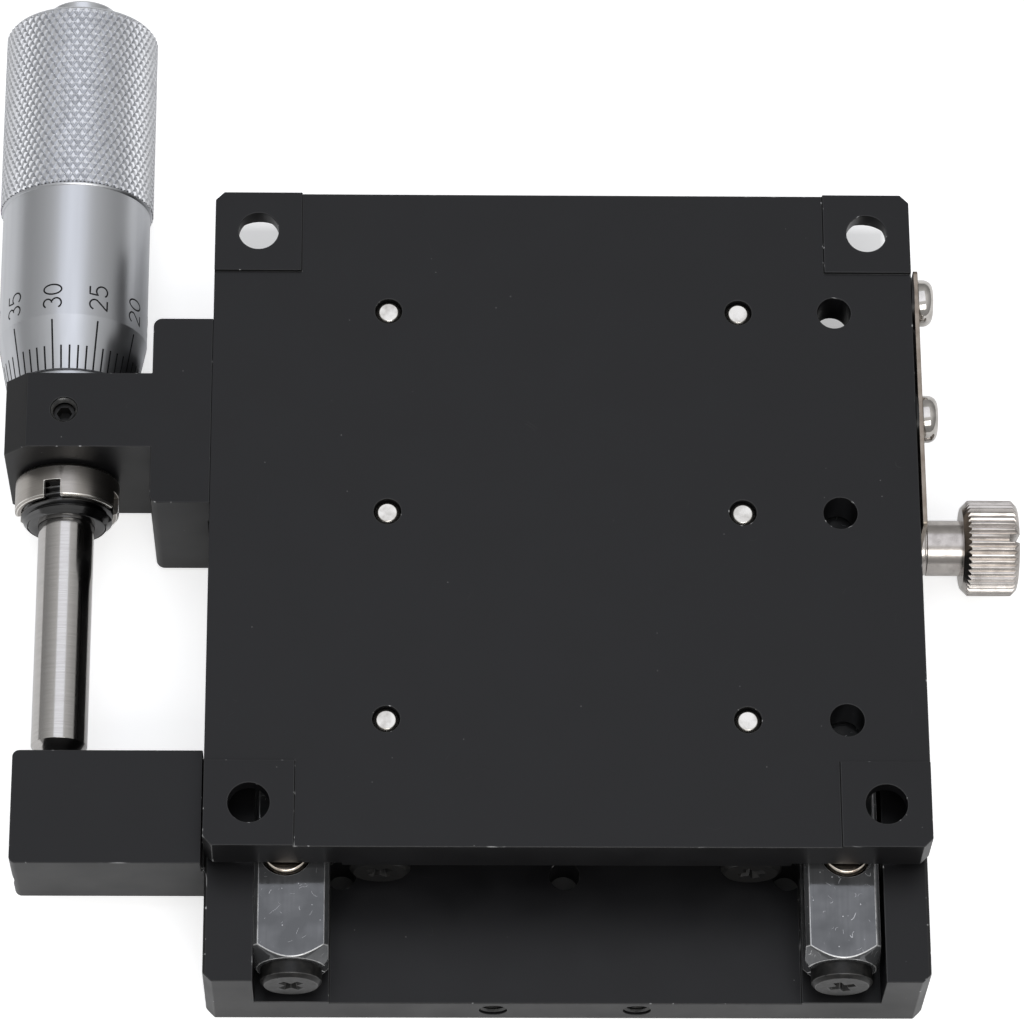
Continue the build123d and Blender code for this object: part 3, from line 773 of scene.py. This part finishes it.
@dataclass
class TappedHoles:
    """Threads of the arm's hole and of the two holes in the table's end."""

    arm_hole: Place = (-56.7, 12.5, 19.5)
    end_holes: tuple[Place, Place] = ((-8.0, -53.2, 2.8), (8.0, -53.2, 2.8))

    def build(self) -> None:
        """Adds the threads."""
        left, right = self.end_holes
        TappedHole("arm_hole_thread", self.arm_hole, 90, Body.BASE, 0.1, 1.15, 1.5).build()
        TappedHole("end_hole_thread_left", left, 180, Body.TABLE).build()
        TappedHole("end_hole_thread_right", right, 180, Body.TABLE).build()


@dataclass
class Ways(SubAssembly):
    """Rails, cages, rollers and the screws that hold them."""

    rail_edge: float = 0.08
    screw_edge: float = 0.06

    def build(self) -> None:
        """Finishes both pairs of rails and what runs between them."""
        # The rails' rounded edges carry a painted highlight.
        self.coat(Finish.RAIL, "base_rail_left", "base_rail_right", "table_rail_left", "table_rail_right",
                  width=self.rail_edge, edge=Finish.RAIL_EDGE)
        self.coat(Finish.OXIDE, "base_rail_end_screws", width=self.screw_edge)
        # The end screws' rounded rims carry a painted highlight.
        self.coat(Finish.OXIDE, "table_rail_end_screws", width=self.screw_edge, edge=Finish.OXIDE_RIM)
        self.coat(Finish.BRASSY, "table_rail_screws", width=self.screw_edge)
        self.coat(Finish.TIP, "base_rail_screws", width=self.screw_edge)
        self.coat(Finish.OXIDE, "preload_set_screws")
        self.coat(Finish.CAGE, "roller_cage_left", "roller_cage_right")
        self.coat(Finish.ROLLER, "crossed_rollers_left", "crossed_rollers_right")


class ReturnSpring(SubAssembly):
    """Spring between base and table, with its two pins."""

    def build(self) -> None:
        """Finishes the spring and its pins."""
        self.coat(Finish.WIRE, "return_spring")
        self.coat(Finish.PIN, "base_spring_pin", "table_spring_pin")


@dataclass
class ClampAndLock(SubAssembly):
    """Slotted clamp plate on the base and the lock screw in the table."""

    edge: float = 0.05

    def build(self) -> None:
        """Finishes the clamp plate, its screws and the lock screw."""
        self.coat(Finish.CLAMP, "clamp_plate", width=self.edge)
        self.coat(Finish.NICKEL, "clamp_plate_screws", width=self.edge)
        self.coat(Finish.LOCK, "lock_screw", width=self.edge, angle=20.0)
        self.coat(Finish.OXIDE, "clamp_plate_washers")


@dataclass
class Numeral:
    """Strokes of engraved numerals, in a box one unit high."""

    width: float = 0.58
    gap: float = 0.24
    finest: float = 0.12
    flatness: float = 0.08

    def strokes(self, digit: str) -> list[list[Pair]]:
        """Lines of one digit as rows of points.

        Args:
            digit: A digit from 0 to 5.

        Returns:
            The lines, x to the right and y up.
        """
        w = self.width
        shapes = {
            "0": [self.arc(w / 2, 0.5, w / 2, 0.5, 90, 450)],
            "1": [[(w * 0.25, 0.80), (w * 0.62, 1.0), (w * 0.62, 0.0)]],
            "2": [self.arc(w / 2, 0.72, w / 2, 0.28, 165, -28) + [(0.0, 0.0), (w, 0.0)]],
            "3": [self.arc(w * 0.48, 0.76, w * 0.44, 0.24, 155, -80)
                  + self.arc(w * 0.5, 0.28, w / 2, 0.28, 80, -155)],
            "4": [[(w * 0.72, 0.0), (w * 0.72, 1.0), (0.0, 0.28), (w, 0.28)]],
            "5": [[(w * 0.92, 1.0), (w * 0.14, 1.0), (w * 0.06, 0.54)]
                  + self.arc(w * 0.46, 0.32, w * 0.54, 0.32, 128, -145)],
        }
        return shapes[digit]

    @staticmethod
    def arc(x: float, y: float, a: float, b: float, start: float, end: float) -> list[Pair]:
        """Points along part of an ellipse.

        Args:
            x: Its middle across.
            y: Its middle up.
            a: Its radius across.
            b: Its radius up.
            start: Where the part starts, in degrees.
            end: Where it ends, in degrees.

        Returns:
            The points.
        """
        steps = max(6, round(abs(end - start) / 18))
        turns = [math.radians(start + (end - start) * i / steps) for i in range(steps + 1)]
        return [(x + a * math.cos(t), y + b * math.sin(t)) for t in turns]

    def fine(self, line: Sequence[Pair]) -> list[Pair]:
        """Adds points to a line, so that it can be bent round a barrel.

        Args:
            line: Points of the line.

        Returns:
            The line with more points.
        """
        points = [line[0]]
        for (x0, y0), (x1, y1) in zip(line, line[1:]):
            parts = max(1, math.ceil(math.hypot(x1 - x0, y1 - y0) / self.finest))
            points += [(x0 + (x1 - x0) * i / parts, y0 + (y1 - y0) * i / parts) for i in range(1, parts + 1)]
        return points

    def length(self, text: str, height: float) -> float:
        """Length of a number of a given height."""
        return (len(text) * (self.width + self.gap) - self.gap) * height

    def write(self, text: str, height: float, stroke: float) -> Piece:
        """Draws a number flat in the XY plane, centred on its height, starting at x = 0.

        Args:
            text: The number.
            height: Height of a digit.
            stroke: Width of the line.

        Returns:
            The number as a thin mesh.
        """
        curve = bpy.data.curves.new("number_" + text, "CURVE")
        curve.dimensions = "3D"
        curve.bevel_depth = stroke / 2 * MM
        curve.bevel_resolution = 2
        curve.use_fill_caps = True
        start = 0.0
        for digit in text:
            for line in map(self.fine, self.strokes(digit)):
                spline = curve.splines.new("POLY")
                spline.points.add(len(line) - 1)
                for point, (x, y) in zip(spline.points, line):
                    point.co = ((start + x) * height * MM, (y - 0.5) * height * MM, 0, 1)
            start += self.width + self.gap
        piece = bring_in("number_" + text, curve)
        take(piece)
        bpy.ops.object.convert(target="MESH")
        piece.scale = (1, 1, self.flatness)
        settle(piece)
        return piece


@dataclass
class MicrometerHead(SubAssembly):
    """Micrometer head: thimble with knurl and scale, sleeve with thread and scale, spindle.

    Angles are in degrees from the top (+Z) towards +X.
    """

    slot: str = "satin_chrome"
    axis_x: float = -56.7
    axis_z: float = 9.5
    thimble_front: float = 18.9
    lip_r: float = 7.35
    bore_r: float = 7.08
    barrel_r: float = 8.6
    bevel: float = 6.3
    smooth: float = 16.6
    grip: float = 23.6
    wall: float = 5.5
    hub_r: float = 2.53
    shoulder: float = 0.06
    front_lip: Pair = (0.28, 0.42)
    back_lip: Pair = (0.55, 0.40)
    seat_gap: float = 0.12
    knurl_r: float = 8.95
    knurl_depth: float = 0.26
    knurl_bank: float = 0.19
    knurl_count: int = 60
    knurl_pitch: float = 1.48
    knurl_ends: Pair = (0.30, 0.42)
    knurl_skin: float = 0.6
    divisions: int = 50
    travel: int = 25
    mark_thirty: float = -12.6
    long_mark: float = 5.85
    short_mark: float = 2.75
    mark_width: float = 0.21
    mark_start: float = 0.03
    mark_sink: float = 0.005
    number_height: float = 2.12
    number_stroke: float = 0.20
    number_start: float = 0.85
    paint: float = 0.012
    film: float = 0.004
    index_start: float = 0.05
    index_length: float = 25.6
    index_width: float = 0.12
    tick_width: float = 0.10
    long_tick: float = 2.6
    short_tick: float = 1.7
    tick_cuts: int = 7
    small_height: float = 1.5
    small_stroke: float = 0.15
    small_turn: float = 27.5
    stem_r: float = 5.2
    stem_root_r: float = 4.75
    stem_front: float = 2.15
    stem_chamfer: float = 0.45
    stem_play: float = 0.01
    thread_pitch: float = 0.794
    thread_crest: Pair = (0.42, 0.58)
    thread_sink: float = 0.02
    thread_ends: Pair = (0.10, 0.05)
    thread_start: float = 0.30
    thread_lead: float = 1.5
    thread_back: float = 7.8
    thread_steps: int = 96
    arm_back: float = 17.1
    sleeve_r: float = 7.0
    sleeve_back: float = 46.0
    tail_r: float = 5.6
    tail_back: float = 52.0
    spindle_bore_r: float = 3.215
    barrel_edge: float = 0.04
    barrel_angle: float = 8.0
    sleeve_edge: float = 0.05
    sleeve_angle: float = 30.0
    small_edge: float = 0.04
    nut_edge: float = 0.07
    cap_edge: float = 0.05

    def build(self) -> None:
        """Builds and finishes the whole head."""
        self.build_barrel()
        self.build_knurl()
        self.build_thimble_scale()
        self.build_sleeve()
        self.build_sleeve_scale()
        self.coat(Finish.SPINDLE, "spindle", width=self.small_edge)
        # The ring nut's rounded rims carry a painted highlight.
        self.coat(Finish.RING_NUT, "sleeve_ring_nut", width=self.nut_edge, edge=Finish.RIM)
        self.coat(Finish.CAP, "thimble_end_cap", width=self.cap_edge)
        self.coat(Finish.RING_NUT, "spindle_adjusting_nut")
        self.coat(Finish.OXIDE, "sleeve_set_screw", "bracket_screws", "anvil_screws", width=self.small_edge)

    def onto_axis(self, piece: Piece) -> Piece:
        """Moves a piece from the Y axis to the axis of the head.

        Args:
            piece: The piece.

        Returns:
            The piece.
        """
        piece.location = (self.axis_x * MM, 0, self.axis_z * MM)
        settle(piece)
        return piece

    def finish(self, piece: Piece, finish: Finish, body: Body, *stands_for: str) -> None:
        """Coats a new piece of the head and hands it over."""
        dress(piece, finish)
        hand_over(piece, body, self.slot, *stands_for)

    @staticmethod
    def turn(piece: Piece, angle: float) -> None:
        """Turns a piece about the Y axis, from the top towards +X."""
        piece.data.transform(Matrix.Rotation(math.radians(angle), 4, "Y"))

    @property
    def bevel_back(self) -> float:
        """End of the bevelled edge along Y."""
        return self.thimble_front + self.bevel

    @property
    def grip_front(self) -> float:
        """Start of the knurled grip along Y."""
        return self.bevel_back + self.smooth

    @property
    def thimble_back(self) -> float:
        """End of the thimble along Y."""
        return self.grip_front + self.grip

    def build_barrel(self) -> None:
        """Turns the body of the thimble, with a seat under the knurl."""
        collar = self.knurl_r - self.seat_gap
        seat = collar - self.knurl_depth
        front, back = self.grip_front, self.thimble_back
        inside = back - self.wall
        barrel = lathe("thimble_barrel", [
            (self.bore_r, self.thimble_front), (self.lip_r, self.thimble_front),
            (self.barrel_r, self.bevel_back), (self.barrel_r, front), (self.barrel_r + self.shoulder, front),
            (collar, front + self.front_lip[0]), (seat, front + self.front_lip[1]),
            (seat, back - self.back_lip[0]), (collar, back - self.back_lip[1]),
            (self.knurl_r - self.back_lip[1], back), (self.hub_r, back), (self.hub_r, inside),
            (self.bore_r, inside),
        ])
        round_edges(barrel, self.barrel_edge, self.barrel_angle)
        shade(self.onto_axis(barrel), Crease.TURNED, weighted=True)
        self.finish(barrel, Finish.CHROME, Body.DRIVE, "thimble")

    def build_knurl(self) -> None:
        """Models one tooth of the knurl and repeats it round and along the grip."""
        valley = self.knurl_r - self.knurl_depth
        half_turn = math.pi / self.knurl_count
        deselect()
        bpy.ops.mesh.primitive_circle_add(vertices=4, radius=MM, fill_type="NGON")
        tooth = bpy.context.active_object
        tooth.name = "thimble_knurl"
        tooth.scale = (valley * math.sin(half_turn), self.knurl_pitch / 2, 1)
        settle(tooth)
        open_mesh(tooth)
        bpy.ops.transform.translate(value=(0, 0, valley * MM))
        select_points(tooth, lambda p: abs(p.x) > WELD)
        bpy.ops.transform.translate(value=(0, 0, -valley * (1 - math.cos(half_turn)) * MM))
        bpy.ops.mesh.select_mode(type="FACE")
        bpy.ops.mesh.select_all(action="SELECT")
        bpy.ops.mesh.inset(thickness=self.knurl_bank * MM, depth=0)
        bpy.ops.transform.translate(value=(0, 0, self.knurl_depth * MM))
        close_mesh()
        step = bring_in("knurl_step", None)
        step.rotation_euler = (0, 2 * half_turn, 0)
        bpy.context.view_layer.update()
        add_modifier(tooth, "ARRAY", count=self.knurl_count, use_relative_offset=False,
                     use_object_offset=True, offset_object=step)
        bpy.data.objects.remove(step)
        second = bring_in("second_ring", tooth.data.copy())
        self.turn(second, math.degrees(half_turn))
        second.location = (0, self.knurl_pitch / 2 * MM, 0)
        settle(second)
        knurl = join([tooth, second], "thimble_knurl")
        rows = math.ceil(self.grip / self.knurl_pitch)
        add_modifier(knurl, "ARRAY", count=rows + 1, use_relative_offset=False,
                     use_constant_offset=True, constant_offset_displace=(0, self.knurl_pitch * MM, 0))
        knurl.location = (0, (self.grip_front - self.knurl_pitch / 2) * MM, 0)
        settle(knurl)
        self.trim_knurl(knurl, self.grip_front + self.knurl_ends[0], self.thimble_back - self.knurl_ends[1])
        shade(self.onto_axis(knurl), Crease.KNURL)
        self.finish(knurl, Finish.KNURL, Body.DRIVE)

    def trim_knurl(self, knurl: Piece, front: float, back: float) -> None:
        """Cuts the knurl to length and closes it to a ring.

        Args:
            knurl: The skin of teeth round the Y axis.
            front: Its start along Y.
            back: Its end along Y.
        """
        inner = (self.bore_r + self.knurl_skin) / self.knurl_r
        open_mesh(knurl)
        bpy.ops.mesh.remove_doubles(threshold=3 * WELD)
        cut_ends(front, back)
        for place in (front, back):
            select_points(knurl, lambda p, at=place: abs(p.y - at * MM) < WELD)
            bpy.ops.mesh.extrude_region_move(TRANSFORM_OT_translate={"value": (0, 0, 0)})
            bpy.ops.transform.resize(value=(inner, 1, inner), center_override=(0, place * MM, 0))
        bpy.ops.mesh.select_mode(type="EDGE")
        limit = self.knurl_r * inner * MM + 10 * WELD
        select_points(knurl, lambda p: math.hypot(p.x, p.z) < limit)
        bpy.ops.mesh.bridge_edge_loops()
        close_outward()

    def number_angle(self, number: int) -> float:
        """Angle of a division of the thimble at rest."""
        return self.mark_thirty + (30 - number) * 360.0 / self.divisions

    def flat_bar(self, across: float, along: float, cuts: int = 0) -> Piece:
        """Adds a thin bar of paint.

        Args:
            across: Its size along X.
            along: Its size along Y.
            cuts: Number of cuts, so that it can be bent.

        Returns:
            The bar, flat on the XY plane.
        """
        deselect()
        bpy.ops.mesh.primitive_plane_add(size=MM)
        bar = bpy.context.active_object
        bar.scale = (across, along, 1)
        settle(bar)
        open_mesh(bar)
        if cuts:
            bpy.ops.mesh.subdivide(number_cuts=cuts)
        bpy.ops.mesh.extrude_region_move(TRANSFORM_OT_translate={"value": (0, 0, self.paint * MM)})
        close_outward()
        return bar

    @staticmethod
    def bend(piece: Piece, radius: float, angle: float, lift: float,
             unroll: Callable[[Vector], Pair]) -> None:
        """Lays a flat piece on a cylinder round the Y axis.

        Args:
            piece: The piece, flat on the XY plane.
            radius: Radius of the cylinder.
            angle: Where the piece lies round it.
            lift: How far the piece stands off it.
            unroll: Gives the way round and the way along of a flat point, in metres.
        """
        for point in piece.data.vertices:
            across, along = unroll(point.co)
            turn = math.radians(angle) + across / (radius * MM)
            r = (radius + lift) * MM + point.co.z
            point.co = (r * math.sin(turn), along, r * math.cos(turn))

    def build_thimble_scale(self) -> None:
        """Adds the lines of the bevelled edge and the numbers behind it."""
        marks = [self.make_mark(i) for i in range(self.divisions)]
        self.finish(self.onto_axis(join(marks, "thimble_marks")), Finish.SCALE_PAINT, Body.DRIVE)
        start = (self.bevel_back + self.number_start) * MM
        numbers = []
        for i in range(0, self.divisions, 5):
            number = Numeral().write(str(i), self.number_height, self.number_stroke)
            self.bend(number, self.barrel_r, self.number_angle(i), self.film, lambda p: (-p.y, start + p.x))
            numbers.append(number)
        self.finish(self.onto_axis(join(numbers, "thimble_numbers")), Finish.SCALE_PAINT, Body.DRIVE)

    def make_mark(self, number: int) -> Piece:
        """Makes one filled line along the bevelled edge.

        Args:
            number: The division it marks.

        Returns:
            The line, round the Y axis.
        """
        length = self.long_mark if number % 5 == 0 else self.short_mark
        slope = math.atan2(self.barrel_r - self.lip_r, self.bevel)
        mark = self.flat_bar(self.mark_width, length)
        middle = length / 2 + self.mark_start
        mark.data.transform(Matrix.Translation((0, middle * MM, -self.mark_sink * MM)))
        mark.data.transform(Matrix.Rotation(slope, 4, "X"))
        mark.data.transform(Matrix.Translation((0, self.thimble_front * MM, self.lip_r * MM)))
        self.turn(mark, self.number_angle(number))
        return mark

    def build_sleeve(self) -> None:
        """Turns the sleeve and its dark stem, and cuts the stem's thread."""
        bore, root, chamfer = self.spindle_bore_r, self.stem_root_r, self.stem_chamfer
        stem_back = self.arm_back - self.stem_play
        sleeve = lathe("sleeve_body", [
            (bore, self.arm_back), (self.sleeve_r, self.arm_back), (self.sleeve_r, self.sleeve_back),
            (self.tail_r, self.sleeve_back), (self.tail_r, self.tail_back), (bore, self.tail_back),
        ])
        stem = lathe("sleeve_stem", [
            (bore, self.stem_front), (root - chamfer, self.stem_front), (root, self.stem_front + chamfer),
            (root, self.thread_back), (self.stem_r, self.thread_back), (self.stem_r, stem_back),
            (bore, stem_back),
        ])
        for piece in (sleeve, stem):
            round_edges(piece, self.sleeve_edge, self.sleeve_angle)
            shade(self.onto_axis(piece), Crease.TURNED, weighted=True)
        self.finish(sleeve, Finish.CHROME, Body.BASE, "micrometer_sleeve")
        self.finish(stem, Finish.STEM, Body.BASE)
        self.finish(self.onto_axis(self.make_thread()), Finish.STEM, Body.BASE)

    def make_thread(self) -> Piece:
        """Makes the thread of the stem, with a chamfered start.

        Returns:
            The thread, round the Y axis.
        """
        pitch = self.thread_pitch
        root = self.stem_root_r - self.thread_sink
        crest = [(self.stem_r, pitch * share) for share in self.thread_crest]
        thread = draw("stem_thread", [(root, 0.0), *crest, (root, pitch)])
        close_mesh()
        turns = math.ceil((self.thread_back - self.stem_front) / pitch) + 2
        add_modifier(thread, "SCREW", axis="Y", screw_offset=pitch * MM, iterations=turns,
                     steps=self.thread_steps, render_steps=self.thread_steps, use_merge_vertices=True,
                     merge_threshold=WELD)
        thread.data.transform(Matrix.Translation((0, (self.stem_front - self.thread_lead * pitch) * MM, 0)))
        open_mesh(thread)
        bpy.ops.mesh.remove_doubles(threshold=WELD)
        cut_ends(self.stem_front + self.thread_ends[0], self.thread_back - self.thread_ends[1])
        close_outward()
        for point in thread.data.vertices:
            radius = math.hypot(point.co.x, point.co.z)
            limit = (self.stem_root_r - self.thread_start) * MM + (point.co.y - self.stem_front * MM)
            if radius > limit:
                point.co.x *= limit / radius
                point.co.z *= limit / radius
        shade(thread, Crease.THREAD)
        return thread

    def build_sleeve_scale(self) -> None:
        """Adds the index line, the millimetre lines and the numbers of the sleeve."""
        index = self.number_angle(0)
        middle = self.thimble_front + self.index_start + self.index_length / 2
        lines = [(self.index_width, self.index_length, 0.0, middle)]
        for i in range(2 * self.travel + 1):
            side = 1 if i % 2 == 0 else -1
            reach = self.long_tick if i % 10 == 0 else self.short_tick
            lines.append((reach, self.tick_width, side * reach / 2, self.thimble_front + i / 2))
        marks = []
        for across, along, shift, middle in lines:
            mark = self.flat_bar(across, along, self.tick_cuts)
            self.bend(mark, self.sleeve_r, index, -self.film, lambda p: (p.x + shift * MM, p.y + middle * MM))
            marks.append(mark)
        self.finish(self.onto_axis(join(marks, "sleeve_marks")), Finish.SCALE_PAINT, Body.BASE)
        numbers = []
        for i in range(0, self.travel + 1, 5):
            number = Numeral().write(str(i), self.small_height, self.small_stroke)
            half = Numeral().length(str(i), self.small_height) / 2 * MM
            along = (self.thimble_front + i) * MM
            self.bend(number, self.sleeve_r, index + self.small_turn, self.film,
                      lambda p: (p.x - half, along + p.y))
            numbers.append(number)
        self.finish(self.onto_axis(join(numbers, "sleeve_numbers")), Finish.SCALE_PAINT, Body.BASE)


# Studio


@dataclass(frozen=True)
class Lamp:
    """Soft lamp aimed at the stage, with its place and size in metres and its power in watts."""

    name: str
    place: Place
    size: Pair
    power: float
    colour: Colour

    def add(self) -> None:
        """Hangs the lamp."""
        data = bpy.data.lights.new(self.name, "AREA")
        data.shape = "RECTANGLE"
        data.size, data.size_y = self.size
        data.energy = self.power
        data.color = self.colour
        lamp = bring_in(self.name, data)
        lamp.location = self.place
        lamp.rotation_euler = (-Vector(self.place)).to_track_quat("-Z", "Y").to_euler()


@dataclass
class Studio:
    """Pale floor, soft dome, one lamp overhead and one behind the camera.

    The camera sees the floor lifted to white. Metal and glass see it lifted by a smaller share. The paper
    under the table isn't lifted and is painted darker as a painted shade, so that the holes over it stay
    dark, and a strip behind the base gets part of the lift and part of that painted shade.
    """

    floor_size: float = 6.0
    floor_gap: float = 0.05
    floor_colour: float = 0.86
    camera_lift: float = 0.62
    glossy_lift: float = 0.20
    glossy_white: float = 0.06
    under_half: float = 37.0
    under_front: float = -40.0
    under_middle: float = 24.0
    under_back: float = 45.0
    under_soft: float = 3.0
    # Share of lift and of paper colour in the strip behind the base; the rest there is painted shade.
    under_share: float = 0.53
    # Paper colour under the stage: a painted shade.
    under_colour: float = 0.22
    dome: tuple[Pair, ...] = ((0.0, 0.29), (0.36, 0.37), (0.65, 0.52), (0.85, 0.72), (1.0, 0.84))
    lamps: tuple[Lamp, ...] = (
        Lamp("overhead_softbox", (-0.035, 0.22, 1.0), (0.66, 1.0), 1.42, (0.90, 0.95, 1.10)),
        Lamp("front_softbox", (0.15, -1.00, 1.10), (0.90, 0.60), 6.5, (1.0, 0.99, 0.97)),
    )

    def build(self) -> None:
        """Adds the floor, the world and the lamps."""
        self.add_floor()
        self.add_world()
        for lamp in self.lamps:
            lamp.add()

    def add_floor(self) -> None:
        """Adds the floor just under the table's face."""
        deselect()
        bpy.ops.mesh.primitive_plane_add(size=self.floor_size, location=(0, 0, -self.floor_gap * MM))
        floor = bpy.context.active_object
        floor.name = "studio_floor"
        material = bpy.data.materials.new("studio_floor_paper")
        nodes = Nodes(material)
        clear = self.clear_of_table(nodes)
        lift = nodes.sum("MULTIPLY", nodes.seen(self.camera_lift, self.glossy_lift), clear)
        # Paper colour clear of the stage, darkened under it and partly behind it as a painted shade.
        tone = nodes.span(clear, 0.0, 1.0, self.under_colour, self.floor_colour)
        both = nodes.add("AddShader")
        nodes.put(both.inputs[0], nodes.add("BsdfDiffuse", Color=tone).outputs[0])
        nodes.put(both.inputs[1], nodes.add("Emission", Strength=lift).outputs[0])
        nodes.add("OutputMaterial", Surface=both.outputs[0])
        floor.data.materials.append(material)

    def clear_of_table(self, nodes: Nodes) -> Socket:
        """Share of the lift, and of paper colour over painted shade, at a place on the floor, with soft
        steps.

        Args:
            nodes: The floor's nodes.

        Returns:
            0 under the stage and 1 clear of it.
        """
        split = nodes.add("SeparateXYZ", Vector=nodes.add("TexCoord").outputs["Object"])
        along = split.outputs["Y"]
        steps = (
            (nodes.sum("ABSOLUTE", split.outputs["X"], 0.0), self.under_half, 1.0),
            (nodes.sum("MULTIPLY", along, -1.0), -self.under_front, 1.0),
            (along, self.under_middle, self.under_share),
            (along, self.under_back, 1.0 - self.under_share),
        )
        aside, front, middle, back = [
            nodes.span(place, start * MM, (start + self.under_soft) * MM, 0.0, share)
            for place, start, share in steps
        ]
        behind = nodes.sum("ADD", middle, back)
        return nodes.sum("MAXIMUM", nodes.sum("MAXIMUM", aside, front), behind)

    def add_world(self) -> None:
        """Makes a dome that is bright overhead, darker towards the horizon and white to the camera."""
        world = bpy.data.worlds.new("studio_dome")
        bpy.context.scene.world = world
        nodes = Nodes(world)
        split = nodes.add("SeparateXYZ", Vector=nodes.add("TexCoord").outputs["Generated"])
        ramp = nodes.add("ValToRGB", Fac=split.outputs["Z"])
        points = ramp.color_ramp.elements
        while len(points) < len(self.dome):
            points.new(0.5)
        for point, (height, level) in zip(points, self.dome):
            point.position = height
            point.color = (*grey(level), 1)
        white = nodes.blend(nodes.seen(1.0, self.glossy_white), ramp.outputs["Color"], grey(1.0))
        sky = nodes.add("Background", Color=white)
        nodes.add("OutputWorld", Surface=sky.outputs[0])


@dataclass
class PhotoCamera:
    """Camera at the place that the photograph was taken from, with its turns in radians."""

    tilt: float = 0.4132
    yaw: float = 0.0194
    roll: float = -0.0040
    shift_x: float = 6.003
    shift_y: float = -0.0033
    distance: float = 566.66
    pad_plane: float = 20.0
    lens: float = 177.29
    sensor: float = 36.0
    sight: Pair = (0.05, 20.0)

    def build(self) -> None:
        """Places the camera and makes it the scene's."""
        turn = (Matrix.Rotation(self.roll, 3, "Z") @ Matrix.Rotation(self.yaw, 3, "Y")
                @ Matrix.Rotation(-self.tilt, 3, "X"))
        centre = turn.transposed() @ Vector((-self.shift_x, -self.shift_y, self.distance))
        data = bpy.data.cameras.new("photo_camera")
        data.lens = self.lens
        data.sensor_width = self.sensor
        data.clip_start, data.clip_end = self.sight
        camera = bring_in("photo_camera", data)
        place = Matrix.Translation((centre + Vector((0, 0, self.pad_plane))) * MM)
        camera.matrix_world = place @ turn.transposed().to_4x4()
        bpy.context.scene.camera = camera


def main() -> None:
    """Builds the studio and the stage in order."""
    logging.basicConfig(level=logging.INFO, format="%(message)s")
    bpy.context.scene.view_settings.view_transform = "Standard"
    PhotoCamera().build()
    Studio().build()
    for part in (BlackParts, TappedHoles, Ways, ReturnSpring, ClampAndLock, MicrometerHead):
        part().build()


if __name__ == "__main__":
    main()
